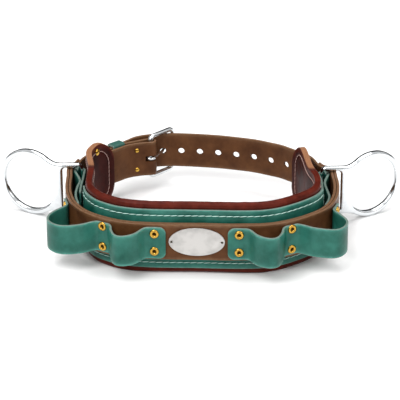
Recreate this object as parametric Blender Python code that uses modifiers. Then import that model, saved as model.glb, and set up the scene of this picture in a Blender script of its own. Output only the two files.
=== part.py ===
"""Lineman belt: a padded leather waist belt with two tool loops, two D-rings and a prong buckle.

The belt is buckled and stands on the lower edge of its pad, with the name plate at -Y and the buckle
at +Y. Sizes are in millimetres, and MM turns them into Blender's metres where a mesh is made. Plan
lines are seen from above and run from the belt's left to its right, so that their right-hand side is
the outside of the belt. A table for both sides or for the left one is written as for the right side,
and its x is turned round for the left.
"""

import math

import bmesh
import bpy
import numpy as np
from mathutils import Matrix, Vector

MM = 0.001
GAP = 0.35  # between pieces that touch on the real belt

# Strap: bridle leather, 1 3/4 in wide, in two plies round the front and one behind the rings.
STRAP_WIDTH = 44.45
STRAP_PLY = 3.3
STRAP_MIDDLE = 45.3
STRAP_LOW = STRAP_MIDDLE - STRAP_WIDTH / 2
STRAP_HIGH = STRAP_MIDDLE + STRAP_WIDTH / 2
PLY_GAP = 0.5  # between two curved plies
FACING_OFFSET = 1.5 * STRAP_PLY + PLY_GAP  # from the strap's inner face to the facing's middle
FACING_LEFT_END, FACING_RIGHT_END = (-143.5, 74.0), (137.0, 74.0)  # behind the rings

# x, y of the strap's inner face, from the name plate to just behind the ring
STRAP_LEFT = [(0, -98.5), (34, -99), (60, -97.8), (75, -96.5), (93, -91.5), (112, -81.5), (127, -70),
              (137, -57), (143.8, -43.5), (148.2, -29.5), (151.3, -14.5), (153, 2), (153.6, 17), (154, 30),
              (155, 40), (155.2, 47), (153.8, 54)]
STRAP_RIGHT = [(0, -98.5), (34, -99), (60, -97.8), (75, -96.5), (93, -91.5), (113, -80.5), (128, -68.5),
               (141, -55.5), (151, -37.5), (156.5, -14), (158, 8), (157.6, 22), (156.4, 34), (155.4, 47),
               (153.8, 54)]
# x, y of the same face on the buckle side, from the ring to the buckle's heel bar
BUCKLE_SIDE = [(-150.8, 60), (-147.6, 66), (-145.2, 75), (-141, 84.5), (-134, 92), (-126, 96),
               (-118.5, 98.6), (-111.5, 101.6), (-106, 106.2), (-100.5, 111.7), (-94.5, 117.7),
               (-88, 121.8), (-80, 125.1), (-72, 127.4)]
# x, y of the same face on the billet, from the ring to the keeper
BILLET_SIDE = [(150.5, 59), (145.5, 62), (141, 66.5), (137.8, 73), (134.8, 82), (130.5, 91.5),
               (123.5, 100.5), (114, 109), (104, 117.5), (95, 125), (81.5, 132), (62, 141), (39, 147.5),
               (17, 152), (-5.4, 155), (-31, 157), (-43, 157), (-59, 154.3), (-72, 151), (-84, 145),
               (-93.5, 134.5)]
BILLET_HOLE = 7.9
BILLET_HOLE_DROP = 1.0  # the holes are that much below the strap's middle
BILLET_HOLE_PITCH = 23.3
BILLET_FREE_HOLES = 7
BILLET_TIP_ROUND = 12.0
KNOT_STEP = 4.0

# Keeper: a green leather band round the folded end and the billet
KEEPER_FOOT = Vector((-100.5, 111.7))  # on the strap's inner face
KEEPER_HEADING = math.radians(45)
KEEPER_LENGTH = 18.0
KEEPER_WALL = 2.5
KEEPER_ARCH = 2.0
KEEPER_GAP = 0.5
FOLD_RISE = 2 * STRAP_PLY + KEEPER_WALL + 2 * KEEPER_GAP  # strap's inner face to the fold's outer face
PAST_KEEPER = 4.0

# Buckle: a nickel-plated wire frame with a prong curled round its heel bar
HEEL_BAR = Vector((-66.5, 136.0))
END_BAR = Vector((-41.0, 164.2))
FRAME_WIRE = 6.0
FRAME_HEIGHT = 53.0  # between the middles of its upper and lower bars
FRAME_CORNER = 5.5
PRONG_WIRE = 4.0
PRONG_MIDDLE = STRAP_MIDDLE - 0.6
PRONG_HOLE = (-52.4, 158.6)
PRONG_CURL = FRAME_WIRE / 2 + PRONG_WIRE / 2 + GAP
PRONG_CURL_FROM, PRONG_CURL_TO = 110.0, 339.0  # degrees round the heel bar
# x, y of the prong from its curl through the billet's hole to its tip on the end bar
PRONG_SHANK = [(-57.8, 143.5), (-53.6, 152.5), (-51.9, 158.7), (-50.2, 163.2), (-46.6, 167.3), (-42, 170)]
FOLD_RADIUS = 6.0
FOLD_FROM, FOLD_TO = -80.0, 117.0  # degrees round the heel bar
FOLD_SLOT_HEIGHT = 7.5
FOLD_SLOT_BACK = 8.0  # from the heel bar's middle, away from the fold's end

# Pad: burgundy leather rolled over its upper and lower edges, flat in the two tongues behind
PAD_HEIGHT = 90.0
PAD_ROLL = 4.7
PAD_NECK = 3.9
TONGUE_HALF = 3.6
TONGUE_CORNER = 32.0
PAD_SCALLOP = 1.5
PAD_SCALLOP_REACH = 75.0
ROLL_END_Y, TONGUE_START_Y = -40.0, -22.0
# x, y of the pad's middle plane, from the name plate to the tongue's end
PAD_LEFT = [(0, -90.2), (40, -90.6), (60, -89.8), (74, -88), (88.5, -83.9), (100.5, -77.6), (114, -67),
            (124, -51.5), (128, -38), (128.8, -24), (128.6, -8), (129.2, 6), (131.2, 20), (133.8, 34),
            (135, 44), (134.8, 53), (131.5, 65), (126, 75.5), (118.5, 85), (110.5, 93.5)]
PAD_RIGHT = [(0, -90.2), (40, -90.6), (60, -89.8), (74, -88.2), (92.6, -81), (112.3, -67), (127.6, -52.5),
             (135, -41), (138.3, -29), (138, -16), (135.8, -4), (132, 8), (129.3, 20), (127, 36),
             (125.4, 48), (123.6, 60), (120.8, 73), (117, 84), (112.3, 93.5)]

# Face ply: green leather stitched on the outside of the pad
FACE_PLY = 2.5
FACE_OFFSET = 6.1  # from the pad's middle plane to the face's
FACE_LOW, FACE_HIGH = 8.4, 82.6
FACE_CORNER = 18.0
FACE_END_X, FACE_END_Y = 135.0, -20.0

# Ring wraps: a green strip doubled round each D-ring's bar, its two tails tucked under the strap
WRAP_PLY = 2.8
WRAP_CLEAR = 0.65  # round the bar
WRAP_LOW, WRAP_HIGH = 25.0, 65.0
WRAP_OUTER_TAIL = {"left": [(140.6, -45), (144.5, -30), (146.2, -15), (145.6, 3), (144.3, 20)],
                   "right": [(147.8, -40), (150.7, -30), (152.8, -17), (151.6, -5), (149, 12), (148.2, 26)]}
WRAP_INNER_TAIL = {"left": [(141.0, 24), (141.6, 3), (141.4, -12)],
                   "right": [(143.8, 32), (144.6, 20), (144.8, 8), (144, -4)]}

# D-rings: plated steel, cranked backwards between the strap slot and the round eye
RING_BAR = Vector((147.0, 49.0))
RING_MIDDLE_HEIGHT = 43.0
RING_THICKNESS = 7.5
RING_EDGE = 2.2
RING_BAR_WIDTH = 8.0
RING_SLOT_TO = 20.6  # from the bar's middle
RING_SLOT_HEIGHT = 50.0
RING_SLOT_CORNER = 3.0
RING_ARM = 6.3
RING_HEEL_CORNER = 7.0
RING_EYE_CENTRE = 63.5
RING_EYE_RADIUS = 35.0
RING_STOCK = 7.5
RING_FILLET = 30.0
RING_YAW = {"left": -4.0, "right": 4.0}  # degrees, backwards at the bar
RING_CRANK = 28.0  # degrees more, past the slot
RING_CRANK_FROM, RING_CRANK_TO = 20.0, 34.0

# Tool loops: green leather strips riveted over the strap, bulging in a small and a large loop
LOOP_PLY = 2.7
LOOP_GAP = 0.45  # between the strip and the strap under it
LOOP_REST = LOOP_PLY / 2 + LOOP_GAP
LOOP_MIDDLE = 45.3
LOOP_HALF_WIDTHS = [(0, 20.0), (60, 19.0), (200, 18.0)]  # distance along the strip, half width
LOOP_CORNER = 8.0
# distance along the strap from the name plate, standoff of the strip's middle from the strap
LOOP_LINE = [(35.5, 0), (46, 0), (57, 0.6), (61.5, 4), (68.7, 16.5), (77.4, 25.3), (85.5, 25), (93, 14),
             (97.5, 4.5), (103, 0), (109.9, 0), (116.4, 0), (121, 5), (127.4, 19.7), (138.3, 35.2),
             (147.3, 38.5), (155.9, 35.3), (163.1, 26.5), (170.2, 11.5), (174, 4), (179.5, 0), (195.5, 0)]

# Rivets: turned brass heads
TUBE_RIVET = [(5.4, 0), (5.25, 0.9), (4.3, 1.6), (2.6, 1.5), (2.0, 0.5), (0, 0.5)]
DOME_RIVET = [(3.1, 0), (2.7, 0.8), (1.6, 1.4), (0, 1.6)]
TONGUE_RIVET = [(4.5, 0), (3.9, 1.2), (2.3, 2.0), (0, 2.3)]
PLATE_PIN = [(2.0, 0), (1.5, 0.7), (0, 0.9)]
RIVET_SIDES = 10
# name, distance along the strap, half distance between the two heads, height of the pair's middle
LOOP_RIVETS = [("inner", 48.5, 11.0, 46.1), ("middle", 109.7, 12.8, 46.5), ("outer", 187.5, 11.0, 45.3)]
BUCKLE_RIVET_PLACE = (-82.5, 124.0)
BUCKLE_RIVET_SPACING = 25.8
TONGUE_RIVET_Y, TONGUE_RIVET_HEIGHT = 68.0, 81.0

# Name plate: a bare oval
PLATE_LENGTH, PLATE_HEIGHT, PLATE_THICKNESS = 64.5, 35.1, 1.0
PLATE_MIDDLE_HEIGHT = 46.8
PLATE_PIN_X = 29.0

GREEN = (0.05, 0.20, 0.16)
DARK_GREEN = (0.02, 0.09, 0.07)
BROWN = (0.13, 0.05, 0.025)
BURGUNDY = (0.11, 0.015, 0.01)
BRASS = (0.80, 0.55, 0.16)
PLATED = (0.80, 0.80, 0.82)
SILVER = (0.68, 0.66, 0.64)


class PlanLine:
    """A line seen from above, read by the distance along it."""

    def __init__(self, points):
        self.points = np.array([tuple(point)[:2] for point in points], float)
        steps = np.linalg.norm(np.diff(self.points, axis=0), axis=1)
        self.along = np.concatenate([[0.0], np.cumsum(steps)])
        self.length = float(self.along[-1])

    @classmethod
    def through(cls, knots, step=0.6):
        """A centripetal Catmull-Rom curve through the knots."""
        knots = np.array([tuple(knot)[:2] for knot in knots], float)
        spans = np.linalg.norm(np.diff(knots, axis=0), axis=1)
        time = np.concatenate([[0.0], np.cumsum(np.sqrt(spans))])
        slope = np.gradient(knots, time, axis=0)
        slope[1:-1] = (knots[2:] - knots[:-2]) / (time[2:] - time[:-2])[:, None]
        points = []
        for i, span in enumerate(spans):
            width = time[i + 1] - time[i]
            t = np.linspace(0, 1, max(2, int(span / step)), endpoint=False)[:, None]
            points.append((2 * t**3 - 3 * t**2 + 1) * knots[i] + (t**3 - 2 * t**2 + t) * width * slope[i]
                          + (3 * t**2 - 2 * t**3) * knots[i + 1] + (t**3 - t**2) * width * slope[i + 1])
        return cls(np.concatenate(points + [knots[-1:]]))

    def at(self, distance):
        return Vector([np.interp(distance, self.along, self.points[:, axis]) for axis in (0, 1)])

    def heading(self, distance, reach=0.8):
        ahead = self.at(min(distance + reach, self.length))
        behind = self.at(max(distance - reach, 0.0))
        return (ahead - behind).normalized()

    def outward(self, distance):
        heading = self.heading(distance)
        return Vector((heading.y, -heading.x))

    def offset(self, gap):
        return PlanLine([self.at(s) + gap * self.outward(s) for s in self.along])

    def between(self, start, end):
        inside = [s for s in self.along if start < s < end]
        return PlanLine([self.at(s) for s in [start, *inside, end]])

    def nearest(self, point):
        gaps = np.linalg.norm(self.points - np.array(tuple(point)[:2]), axis=1)
        return float(self.along[int(np.argmin(gaps))])

    def stations(self, extra=(), most_turn=math.radians(7), most_step=10.0):
        """Distances for a faceted copy: closer together where the line bends."""
        found, turned, last = [0.0], 0.0, self.heading(0.0)
        for s in self.along[1:-1]:
            now = self.heading(s)
            turned += abs(last.angle_signed(now))
            last = now
            if turned > most_turn or s - found[-1] > most_step:
                found.append(float(s))
                turned = 0.0
        kept = [s for s in found if all(abs(s - more) > 1.2 for more in [*extra, self.length]) or s == 0.0]
        return sorted({*kept, *extra, self.length})


def mirrored(rows):
    """The left side's points, from the back to the front, without the one at the middle."""
    return [(-x, y) for x, y in rows[:0:-1]]


def look(name, colour, roughness, metallic=0.0):
    material = bpy.data.materials.new(name)
    material.use_nodes = True
    shader = material.node_tree.nodes["Principled BSDF"]
    shader.inputs["Base Color"].default_value = (*colour, 1.0)
    shader.inputs["Roughness"].default_value = roughness
    shader.inputs["Metallic"].default_value = metallic
    material.diffuse_color = (*colour, 1.0)
    return material


def leather(name, colour):
    return look(name + "_leather", colour, 0.45)


def metal(name, colour, roughness=0.2):
    return look(name + "_metal", colour, roughness, 1.0)


def add(name, data, material, parent, place=(0, 0, 0)):
    """Puts a mesh or a curve in the belt's collection, at a place in millimetres."""
    data.materials.append(material)
    piece = bpy.data.objects.new(name, data)
    piece.location = Vector(place) * MM
    piece.parent = parent
    parent.users_collection[0].objects.link(piece)
    return piece


def as_mesh(name, body):
    mesh = bpy.data.meshes.new(name)
    bmesh.ops.scale(body, vec=(MM, MM, MM), verts=body.verts)
    bmesh.ops.recalc_face_normals(body, faces=body.faces)
    body.to_mesh(mesh)
    body.free()
    return mesh


def corner_trim(distance, radius):
    """How much a rounded corner takes off an edge at this distance from the end."""
    if distance >= radius:
        return 0.0
    return radius - math.sqrt(radius**2 - (radius - distance) ** 2)


def corner_stations(line, start, end):
    """Distances along a line that draw its rounded ends."""
    steps = [math.radians(angle) for angle in (22.5, 45, 67.5, 90)]
    first = [start * (1 - math.cos(angle)) for angle in steps if start]
    last = [line.length - end * (1 - math.cos(angle)) for angle in steps if end]
    return first + last


def ribbon(name, line, low, high, thickness, material, parent, corners=(0.0, 0.0)):
    """A band of leather on edge along a plan line; low and high are heights, or functions of distance."""
    spots = line.stations(corner_stations(line, *corners))
    body = bmesh.new()
    bmesh.ops.create_grid(body, x_segments=len(spots) - 1, y_segments=1, size=1.0)
    for vert in body.verts:
        distance = spots[round((vert.co.x + 1) / 2 * (len(spots) - 1))]
        trim = corner_trim(distance, corners[0]) + corner_trim(line.length - distance, corners[1])
        at_top = vert.co.y > 0
        edge = high if at_top else low
        height = edge(distance) if callable(edge) else edge
        vert.co = (*line.at(distance), height - trim if at_top else height + trim)
    piece = add(name, as_mesh(name, body), material, parent)
    wall = piece.modifiers.new("thickness", "SOLIDIFY")
    wall.thickness = thickness * MM
    wall.offset = 0.0
    wall.use_even_offset = True
    return piece


def loft(name, rings, material, parent):
    """A closed body through rings of points, with flat ends."""
    body = bmesh.new()
    loops = [[body.verts.new(point) for point in ring] for ring in rings]
    for near, far in zip(loops, loops[1:]):
        for i in range(len(near)):
            body.faces.new((near[i - 1], near[i], far[i], far[i - 1]))
    body.faces.new(loops[0])
    body.faces.new(loops[-1])
    return add(name, as_mesh(name, body), material, parent)


def wire(name, points, diameter, material, parent, closed=False, resolution=2):
    """A round wire through points."""
    curve = bpy.data.curves.new(name, "CURVE")
    curve.dimensions = "3D"
    curve.bevel_depth = diameter / 2 * MM
    curve.bevel_resolution = resolution
    curve.use_fill_caps = not closed
    spline = curve.splines.new("POLY")
    spline.points.add(len(points) - 1)
    for knot, point in zip(spline.points, points):
        knot.co = (*(Vector(point) * MM), 1.0)
    spline.use_cyclic_u = closed
    return add(name, curve, material, parent)


def flat_curve(name, outlines, thickness, edge):
    """A 2D curve filled between outlines, as thick as asked with its edges eased by a bevel."""
    curve = bpy.data.curves.new(name, "CURVE")
    curve.dimensions = "2D"
    curve.fill_mode = "BOTH"
    curve.extrude = (thickness / 2 - edge) * MM
    curve.bevel_depth = edge * MM
    curve.bevel_resolution = 0
    curve.offset = -edge * MM
    for outline in outlines:
        spline = curve.splines.new("POLY")
        spline.points.add(len(outline) - 1)
        for knot, (x, y) in zip(spline.points, outline):
            knot.co = (x * MM, y * MM, 0.0, 1.0)
        spline.use_cyclic_u = True
    return curve


def mesh_of_curve(curve):
    """The curve's surface as one welded bmesh, in metres."""
    shape = bpy.data.objects.new(curve.name, curve)
    bpy.context.scene.collection.objects.link(shape)
    graph = bpy.context.evaluated_depsgraph_get()
    mesh = bpy.data.meshes.new_from_object(shape.evaluated_get(graph))
    bpy.data.objects.remove(shape)
    bpy.data.curves.remove(curve)
    body = bmesh.new()
    body.from_mesh(mesh)
    bpy.data.meshes.remove(mesh)
    bmesh.ops.remove_doubles(body, verts=body.verts, dist=0.01 * MM)
    return body


def arc(centre, radius, start, end, count):
    """Points of an arc between two angles in degrees."""
    angles = np.radians(np.linspace(start, end, count))
    return [(centre[0] + radius * math.cos(a), centre[1] + radius * math.sin(a)) for a in angles]


def rounded_box(low, high, radius, count=4):
    """The outline of a rectangle with rounded corners, anticlockwise."""
    centres = [(high[0], high[1]), (low[0], high[1]), (low[0], low[1]), (high[0], low[1])]
    insets = [(-radius, -radius), (radius, -radius), (radius, radius), (-radius, radius)]
    outline = []
    for quarter, (corner, inset) in enumerate(zip(centres, insets)):
        centre = (corner[0] + inset[0], corner[1] + inset[1])
        outline += arc(centre, radius, 90 * quarter, 90 * quarter + 90, count)
    return outline


def turned(name, profile, material, parent, place, facing):
    """A turned piece whose axis points along facing, its foot at place."""
    mesh = bpy.data.meshes.new(name)
    points = [(radius * MM, 0.0, height * MM) for radius, height in reversed(profile)]
    points.append((0.0, 0.0, 0.0))
    mesh.from_pydata(points, [(i, i + 1) for i in range(len(points) - 1)], [])
    piece = add(name, mesh, material, parent, place)
    piece.rotation_euler = Vector(facing).to_track_quat("Z", "Y").to_euler()
    spin = piece.modifiers.new("turned", "SCREW")
    spin.steps = spin.render_steps = RIVET_SIDES
    spin.use_merge_vertices = True
    spin.merge_threshold = 0.01 * MM
    return piece


def keeper_point(along, rise):
    """A point by the keeper, along the strap and outward from the strap's inner face."""
    heading = Vector((math.cos(KEEPER_HEADING), math.sin(KEEPER_HEADING)))
    return KEEPER_FOOT + along * heading + rise * Vector((-heading.y, heading.x))


def strap_inner_line():
    """The strap's inner face from the heel bar round the front to the billet's tip."""
    rise = FOLD_RISE + GAP
    tip = -KEEPER_LENGTH / 2 - PAST_KEEPER
    held = [keeper_point(along, rise) for along in (10.0, 0.0, -8.0, tip)]
    return PlanLine.through(BUCKLE_SIDE[::-1] + mirrored(STRAP_LEFT) + STRAP_RIGHT + BILLET_SIDE + held)


def strap_line(inner):
    """Middle of the whole strap: the folded end, the inner ply and the billet."""
    rise = FOLD_RISE - STRAP_PLY / 2
    free_end = -KEEPER_LENGTH / 2 - PAST_KEEPER
    folded = [keeper_point(along, rise) for along in (free_end, -6.0, 0.0, 6.0, 12.0)]
    turn = arc(HEEL_BAR, FOLD_RADIUS, FOLD_TO, FOLD_FROM, 9)
    middle = inner.offset(STRAP_PLY / 2)
    rest = [middle.at(s) for s in np.arange(0.0, middle.length, KNOT_STEP)]
    return PlanLine.through(folded + turn + rest + [middle.at(middle.length)])


def cutter(name, body, place, rotation, belt, collection):
    """A hidden shape that a Boolean takes away."""
    piece = bpy.data.objects.new(name, as_mesh(name, body))
    piece.location = Vector(place) * MM
    piece.rotation_euler = rotation
    piece.hide_render = True
    piece.display_type = "WIRE"
    piece.parent = belt
    collection.objects.link(piece)
    return piece


def cut_billet_holes(line, belt, cutters):
    prong = line.nearest(PRONG_HOLE)
    for number in range(BILLET_FREE_HOLES + 1):
        distance = prong - number * BILLET_HOLE_PITCH
        body = bmesh.new()
        bmesh.ops.create_cone(body, cap_ends=True, segments=12, radius1=BILLET_HOLE / 2,
                              radius2=BILLET_HOLE / 2, depth=4 * STRAP_PLY)
        facing = line.outward(distance).to_3d().to_track_quat("Z", "Y").to_euler()
        place = (*line.at(distance), STRAP_MIDDLE - BILLET_HOLE_DROP)
        cutter(f"cut_billet_hole_{number}", body, place, facing, belt, cutters)


def cut_fold_slot(belt, cutters):
    """The slot in the fold that the prong's curl turns in."""
    reach = FOLD_RADIUS + STRAP_PLY
    body = bmesh.new()
    bmesh.ops.create_cube(body, size=1.0)
    bmesh.ops.scale(body, vec=(FOLD_SLOT_BACK + reach, 2 * reach, FOLD_SLOT_HEIGHT), verts=body.verts)
    heading = math.radians((FOLD_FROM + FOLD_TO) / 2)
    middle = HEEL_BAR + Vector((math.cos(heading), math.sin(heading))) * (reach - FOLD_SLOT_BACK) / 2
    cutter("cut_fold_slot", body, (*middle, STRAP_MIDDLE), (0, 0, heading), belt, cutters)


def make_strap(belt, cutters, inner):
    line = strap_line(inner)
    strap = ribbon("waist_strap", line, STRAP_LOW, STRAP_HIGH, STRAP_PLY, leather("strap", BROWN), belt,
                   corners=(0.0, BILLET_TIP_ROUND))
    cut_billet_holes(line, belt, cutters)
    cut_fold_slot(belt, cutters)
    holes = strap.modifiers.new("holes", "BOOLEAN")
    holes.operand_type = "COLLECTION"
    holes.collection = cutters
    holes.operation = "DIFFERENCE"


def make_facing(belt, inner):
    reach = inner.between(inner.nearest(FACING_LEFT_END), inner.nearest(FACING_RIGHT_END))
    ribbon("strap_facing", reach.offset(FACING_OFFSET), STRAP_LOW, STRAP_HIGH, STRAP_PLY,
           leather("facing", BROWN), belt)


def pad_ring(line, distance):
    """The pad's section: a neck between two rolls, or a flat tongue with eased edges."""
    middle = line.at(distance)
    outward = line.outward(distance)
    flat = min(max((middle.y - ROLL_END_Y) / (TONGUE_START_Y - ROLL_END_Y), 0.0), 1.0)
    roll = PAD_ROLL + (TONGUE_HALF - PAD_ROLL) * flat
    neck = PAD_NECK + (TONGUE_HALF - PAD_NECK) * flat
    half = PAD_HEIGHT / 2 - corner_trim(min(distance, line.length - distance), TONGUE_CORNER)
    reach = min(abs(middle.x) / PAD_SCALLOP_REACH, 1.0)
    lift = PAD_SCALLOP * math.cos(math.pi / 2 * reach) * (middle.y < 0)
    crown = [math.radians(angle) for angle in (-8, 30, 68, 112, 150, 188)]
    upper = [(roll * math.cos(angle), half - roll + roll * math.sin(angle)) for angle in crown]
    upper = [(neck, half - 2.2 * roll), *upper, (-neck, half - 2.2 * roll)]
    lower = [(-out, lift - rise) for out, rise in upper]
    return [(*(middle + outward * out), PAD_HEIGHT / 2 + rise) for out, rise in upper + lower]


def pad_line():
    return PlanLine.through(mirrored(PAD_LEFT) + PAD_RIGHT)


def make_pad(belt):
    line = pad_line()
    spots = line.stations(corner_stations(line, TONGUE_CORNER, TONGUE_CORNER), most_step=12.0)
    rings = [pad_ring(line, distance) for distance in spots]
    loft("body_pad", rings, leather("pad", BURGUNDY), belt)


def make_face(belt):
    line = pad_line().offset(FACE_OFFSET)
    reach = line.between(line.nearest((-FACE_END_X, FACE_END_Y)), line.nearest((FACE_END_X, FACE_END_Y)))
    ribbon("pad_face", reach, FACE_LOW, FACE_HIGH, FACE_PLY, leather("face", GREEN), belt,
           corners=(FACE_CORNER, FACE_CORNER))


def make_ring_wrap(belt, side, word):
    """A strip doubled round the ring's bar: its outer tail, the turn and its inner tail."""
    turn = arc(RING_BAR, RING_BAR_WIDTH / 2 + WRAP_CLEAR + WRAP_PLY / 2, -17, 180, 10)
    knots = [(side * x, y) for x, y in WRAP_OUTER_TAIL[word] + turn + WRAP_INNER_TAIL[word]]
    ribbon("ring_wrap_" + word, PlanLine.through(knots), WRAP_LOW, WRAP_HIGH, WRAP_PLY,
           leather("wrap_" + word, GREEN), belt)


def ring_outlines():
    """The flat ring seen square on, u outward from its bar and v up: its edge, its slot and its eye."""
    half = RING_SLOT_HEIGHT / 2 + RING_ARM
    outer = RING_EYE_RADIUS + RING_STOCK
    fillet_v = half + RING_FILLET
    fillet_u = RING_EYE_CENTRE - math.sqrt((outer + RING_FILLET) ** 2 - fillet_v**2)
    touch = math.degrees(math.atan2(fillet_v, fillet_u - RING_EYE_CENTRE))
    corner = (RING_HEEL_CORNER - RING_BAR_WIDTH / 2, half - RING_HEEL_CORNER)
    upper = arc((RING_EYE_CENTRE, 0), outer, 0, touch, 13)
    upper += arc((fillet_u, fillet_v), RING_FILLET, touch - 180, -90, 4)[1:]
    upper += arc(corner, RING_HEEL_CORNER, 90, 180, 5)
    lower = [(u, -v) for u, v in upper[:0:-1]]
    slot = rounded_box((RING_BAR_WIDTH / 2, -RING_SLOT_HEIGHT / 2), (RING_SLOT_TO, RING_SLOT_HEIGHT / 2),
                       RING_SLOT_CORNER, 3)
    eye = arc((RING_EYE_CENTRE, 0), RING_EYE_RADIUS, 0, 360, 33)[:-1]
    return [upper + lower, slot, eye]


def crank(u, depth):
    """Bends a point of the flat ring backwards past the slot."""
    span = RING_CRANK_TO - RING_CRANK_FROM
    radius = span / math.radians(RING_CRANK)
    angle = min(max(u - RING_CRANK_FROM, 0.0), span) / radius
    past = max(u - RING_CRANK_TO, 0.0)
    before = min(u, RING_CRANK_FROM)
    return (before + (radius - depth) * math.sin(angle) + past * math.cos(angle),
            radius - (radius - depth) * math.cos(angle) + past * math.sin(angle))


def make_ring(belt, side, word):
    name = "d_ring_" + word
    body = mesh_of_curve(flat_curve(name, ring_outlines(), RING_THICKNESS, RING_EDGE))
    bmesh.ops.scale(body, vec=(1 / MM, 1 / MM, 1 / MM), verts=body.verts)
    for u in np.linspace(RING_CRANK_FROM, RING_CRANK_TO, 5):
        everything = body.verts[:] + body.edges[:] + body.faces[:]
        bmesh.ops.bisect_plane(body, geom=everything, plane_co=(u, 0, 0), plane_no=(1, 0, 0))
    for vert in body.verts:
        u, v, depth = vert.co
        out, back = crank(u, depth)
        vert.co = (side * out, back, v)
    place = (side * RING_BAR.x, RING_BAR.y, RING_MIDDLE_HEIGHT)
    ring = add(name, as_mesh(name, body), metal("ring_" + word, PLATED), belt, place)
    ring.rotation_euler = (0, 0, side * math.radians(RING_YAW[word]))


def loop_point(base, side, along, standoff):
    """A point beside the strap's outer face, along it from the name plate."""
    distance = base.nearest((0, base.points[:, 1].min())) + side * along
    return base.at(distance) + base.outward(distance) * standoff


def loop_half_width(distance):
    columns = list(zip(*LOOP_HALF_WIDTHS))
    return float(np.interp(distance, *columns))


def make_tool_loop(belt, base, side, word):
    shape = PlanLine.through(LOOP_LINE, step=1.0).points
    points = [loop_point(base, side, along, max(rise, 0.0) + LOOP_REST) for along, rise in shape]
    ribbon("tool_loop_" + word, PlanLine(points), lambda s: LOOP_MIDDLE - loop_half_width(s),
           lambda s: LOOP_MIDDLE + loop_half_width(s), LOOP_PLY, leather("loop_" + word, GREEN), belt,
           corners=(LOOP_CORNER, 3.0))


def make_loop_rivets(belt, base, side, word):
    standoff = LOOP_REST + LOOP_PLY / 2 + PLY_GAP
    for where, along, half_pitch, middle in LOOP_RIVETS:
        place = loop_point(base, side, along, standoff)
        facing = (loop_point(base, side, along, standoff + 1) - place).to_3d()
        for height, level in ((middle + half_pitch, "upper"), (middle - half_pitch, "lower")):
            name = f"loop_rivet_{word}_{where}_{level}"
            turned(name, TUBE_RIVET, metal(name, BRASS), belt, (*place, height), facing)


def make_frame(belt):
    """The buckle's frame: a closed wire with rounded corners, on edge between its two bars."""
    across = END_BAR - HEEL_BAR
    outline = rounded_box((0, -FRAME_HEIGHT / 2), (across.length, FRAME_HEIGHT / 2), FRAME_CORNER, 5)
    heading = across.normalized()
    points = [(*(HEEL_BAR + heading * out), STRAP_MIDDLE + rise) for out, rise in outline]
    wire("buckle_frame", points, FRAME_WIRE, metal("buckle", PLATED), belt, closed=True)


def make_prong(belt):
    curl = arc(HEEL_BAR, PRONG_CURL, PRONG_CURL_FROM, PRONG_CURL_TO, 12)
    line = PlanLine.through(curl + PRONG_SHANK)
    spots = line.stations(most_turn=math.radians(14))
    points = [(*line.at(s), PRONG_MIDDLE) for s in spots]
    wire("buckle_prong", points, PRONG_WIRE, metal("prong", PLATED), belt)


def make_keeper(belt):
    """A band round the folded end and the billet, its outer wall arched off them."""
    low = STRAP_LOW - KEEPER_GAP
    high = STRAP_HIGH + KEEPER_GAP
    inner = STRAP_PLY + KEEPER_GAP + KEEPER_WALL
    outer = FOLD_RISE + GAP + STRAP_PLY + KEEPER_GAP
    swell = [KEEPER_ARCH * math.sin(math.pi * step / 6) for step in range(1, 6)]
    hole = [(inner, high), (inner, low), (outer, low)]
    rim = [(inner - KEEPER_WALL, high + KEEPER_WALL), (inner - KEEPER_WALL, low - KEEPER_WALL),
           (outer + KEEPER_WALL * 0.6, low - KEEPER_WALL), (outer + KEEPER_WALL, low)]
    for step, rise in enumerate(swell, 1):
        height = low + (high - low) * step / 6
        hole.append((outer + rise, height))
        rim.append((outer + KEEPER_WALL + rise, height))
    hole.append((outer, high))
    rim += [(outer + KEEPER_WALL, high), (outer + KEEPER_WALL * 0.6, high + KEEPER_WALL)]
    body = mesh_of_curve(flat_curve("keeper", [rim, hole], KEEPER_LENGTH, 0.0))
    turn = Matrix(((0, 0, 1, 0), (1, 0, 0, 0), (0, 1, 0, 0), (0, 0, 0, 1)))
    bmesh.ops.transform(body, matrix=turn, verts=body.verts)
    bmesh.ops.scale(body, vec=(1 / MM, 1 / MM, 1 / MM), verts=body.verts)
    keeper = add("keeper", as_mesh("keeper", body), leather("keeper", DARK_GREEN), belt,
                 (*KEEPER_FOOT, 0.0))
    keeper.rotation_euler = (0, 0, KEEPER_HEADING)


def make_plate(belt, base):
    """The oval plate on the strap's front, with a pin near each end."""
    middle = base.nearest((0, base.points[:, 1].min()))
    half = PLATE_LENGTH / 2
    back = min(base.at(middle + step).y for step in np.linspace(-half, half, 41)) - GAP
    body = bmesh.new()
    bmesh.ops.create_cone(body, cap_ends=True, segments=36, radius1=1.0, radius2=1.0, depth=1.0)
    bmesh.ops.scale(body, vec=(half, PLATE_HEIGHT / 2, PLATE_THICKNESS), verts=body.verts)
    bmesh.ops.rotate(body, matrix=Matrix.Rotation(math.pi / 2, 3, "X"), verts=body.verts)
    add("name_plate", as_mesh("name_plate", body), metal("plate", SILVER, 0.35), belt,
        (0, back - PLATE_THICKNESS / 2, PLATE_MIDDLE_HEIGHT))
    for side, word in ((-1, "left"), (1, "right")):
        place = (side * PLATE_PIN_X, back - PLATE_THICKNESS - GAP, PLATE_MIDDLE_HEIGHT)
        turned("plate_pin_" + word, PLATE_PIN, metal("plate_pin_" + word, SILVER), belt, place, (0, -1, 0))


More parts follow.
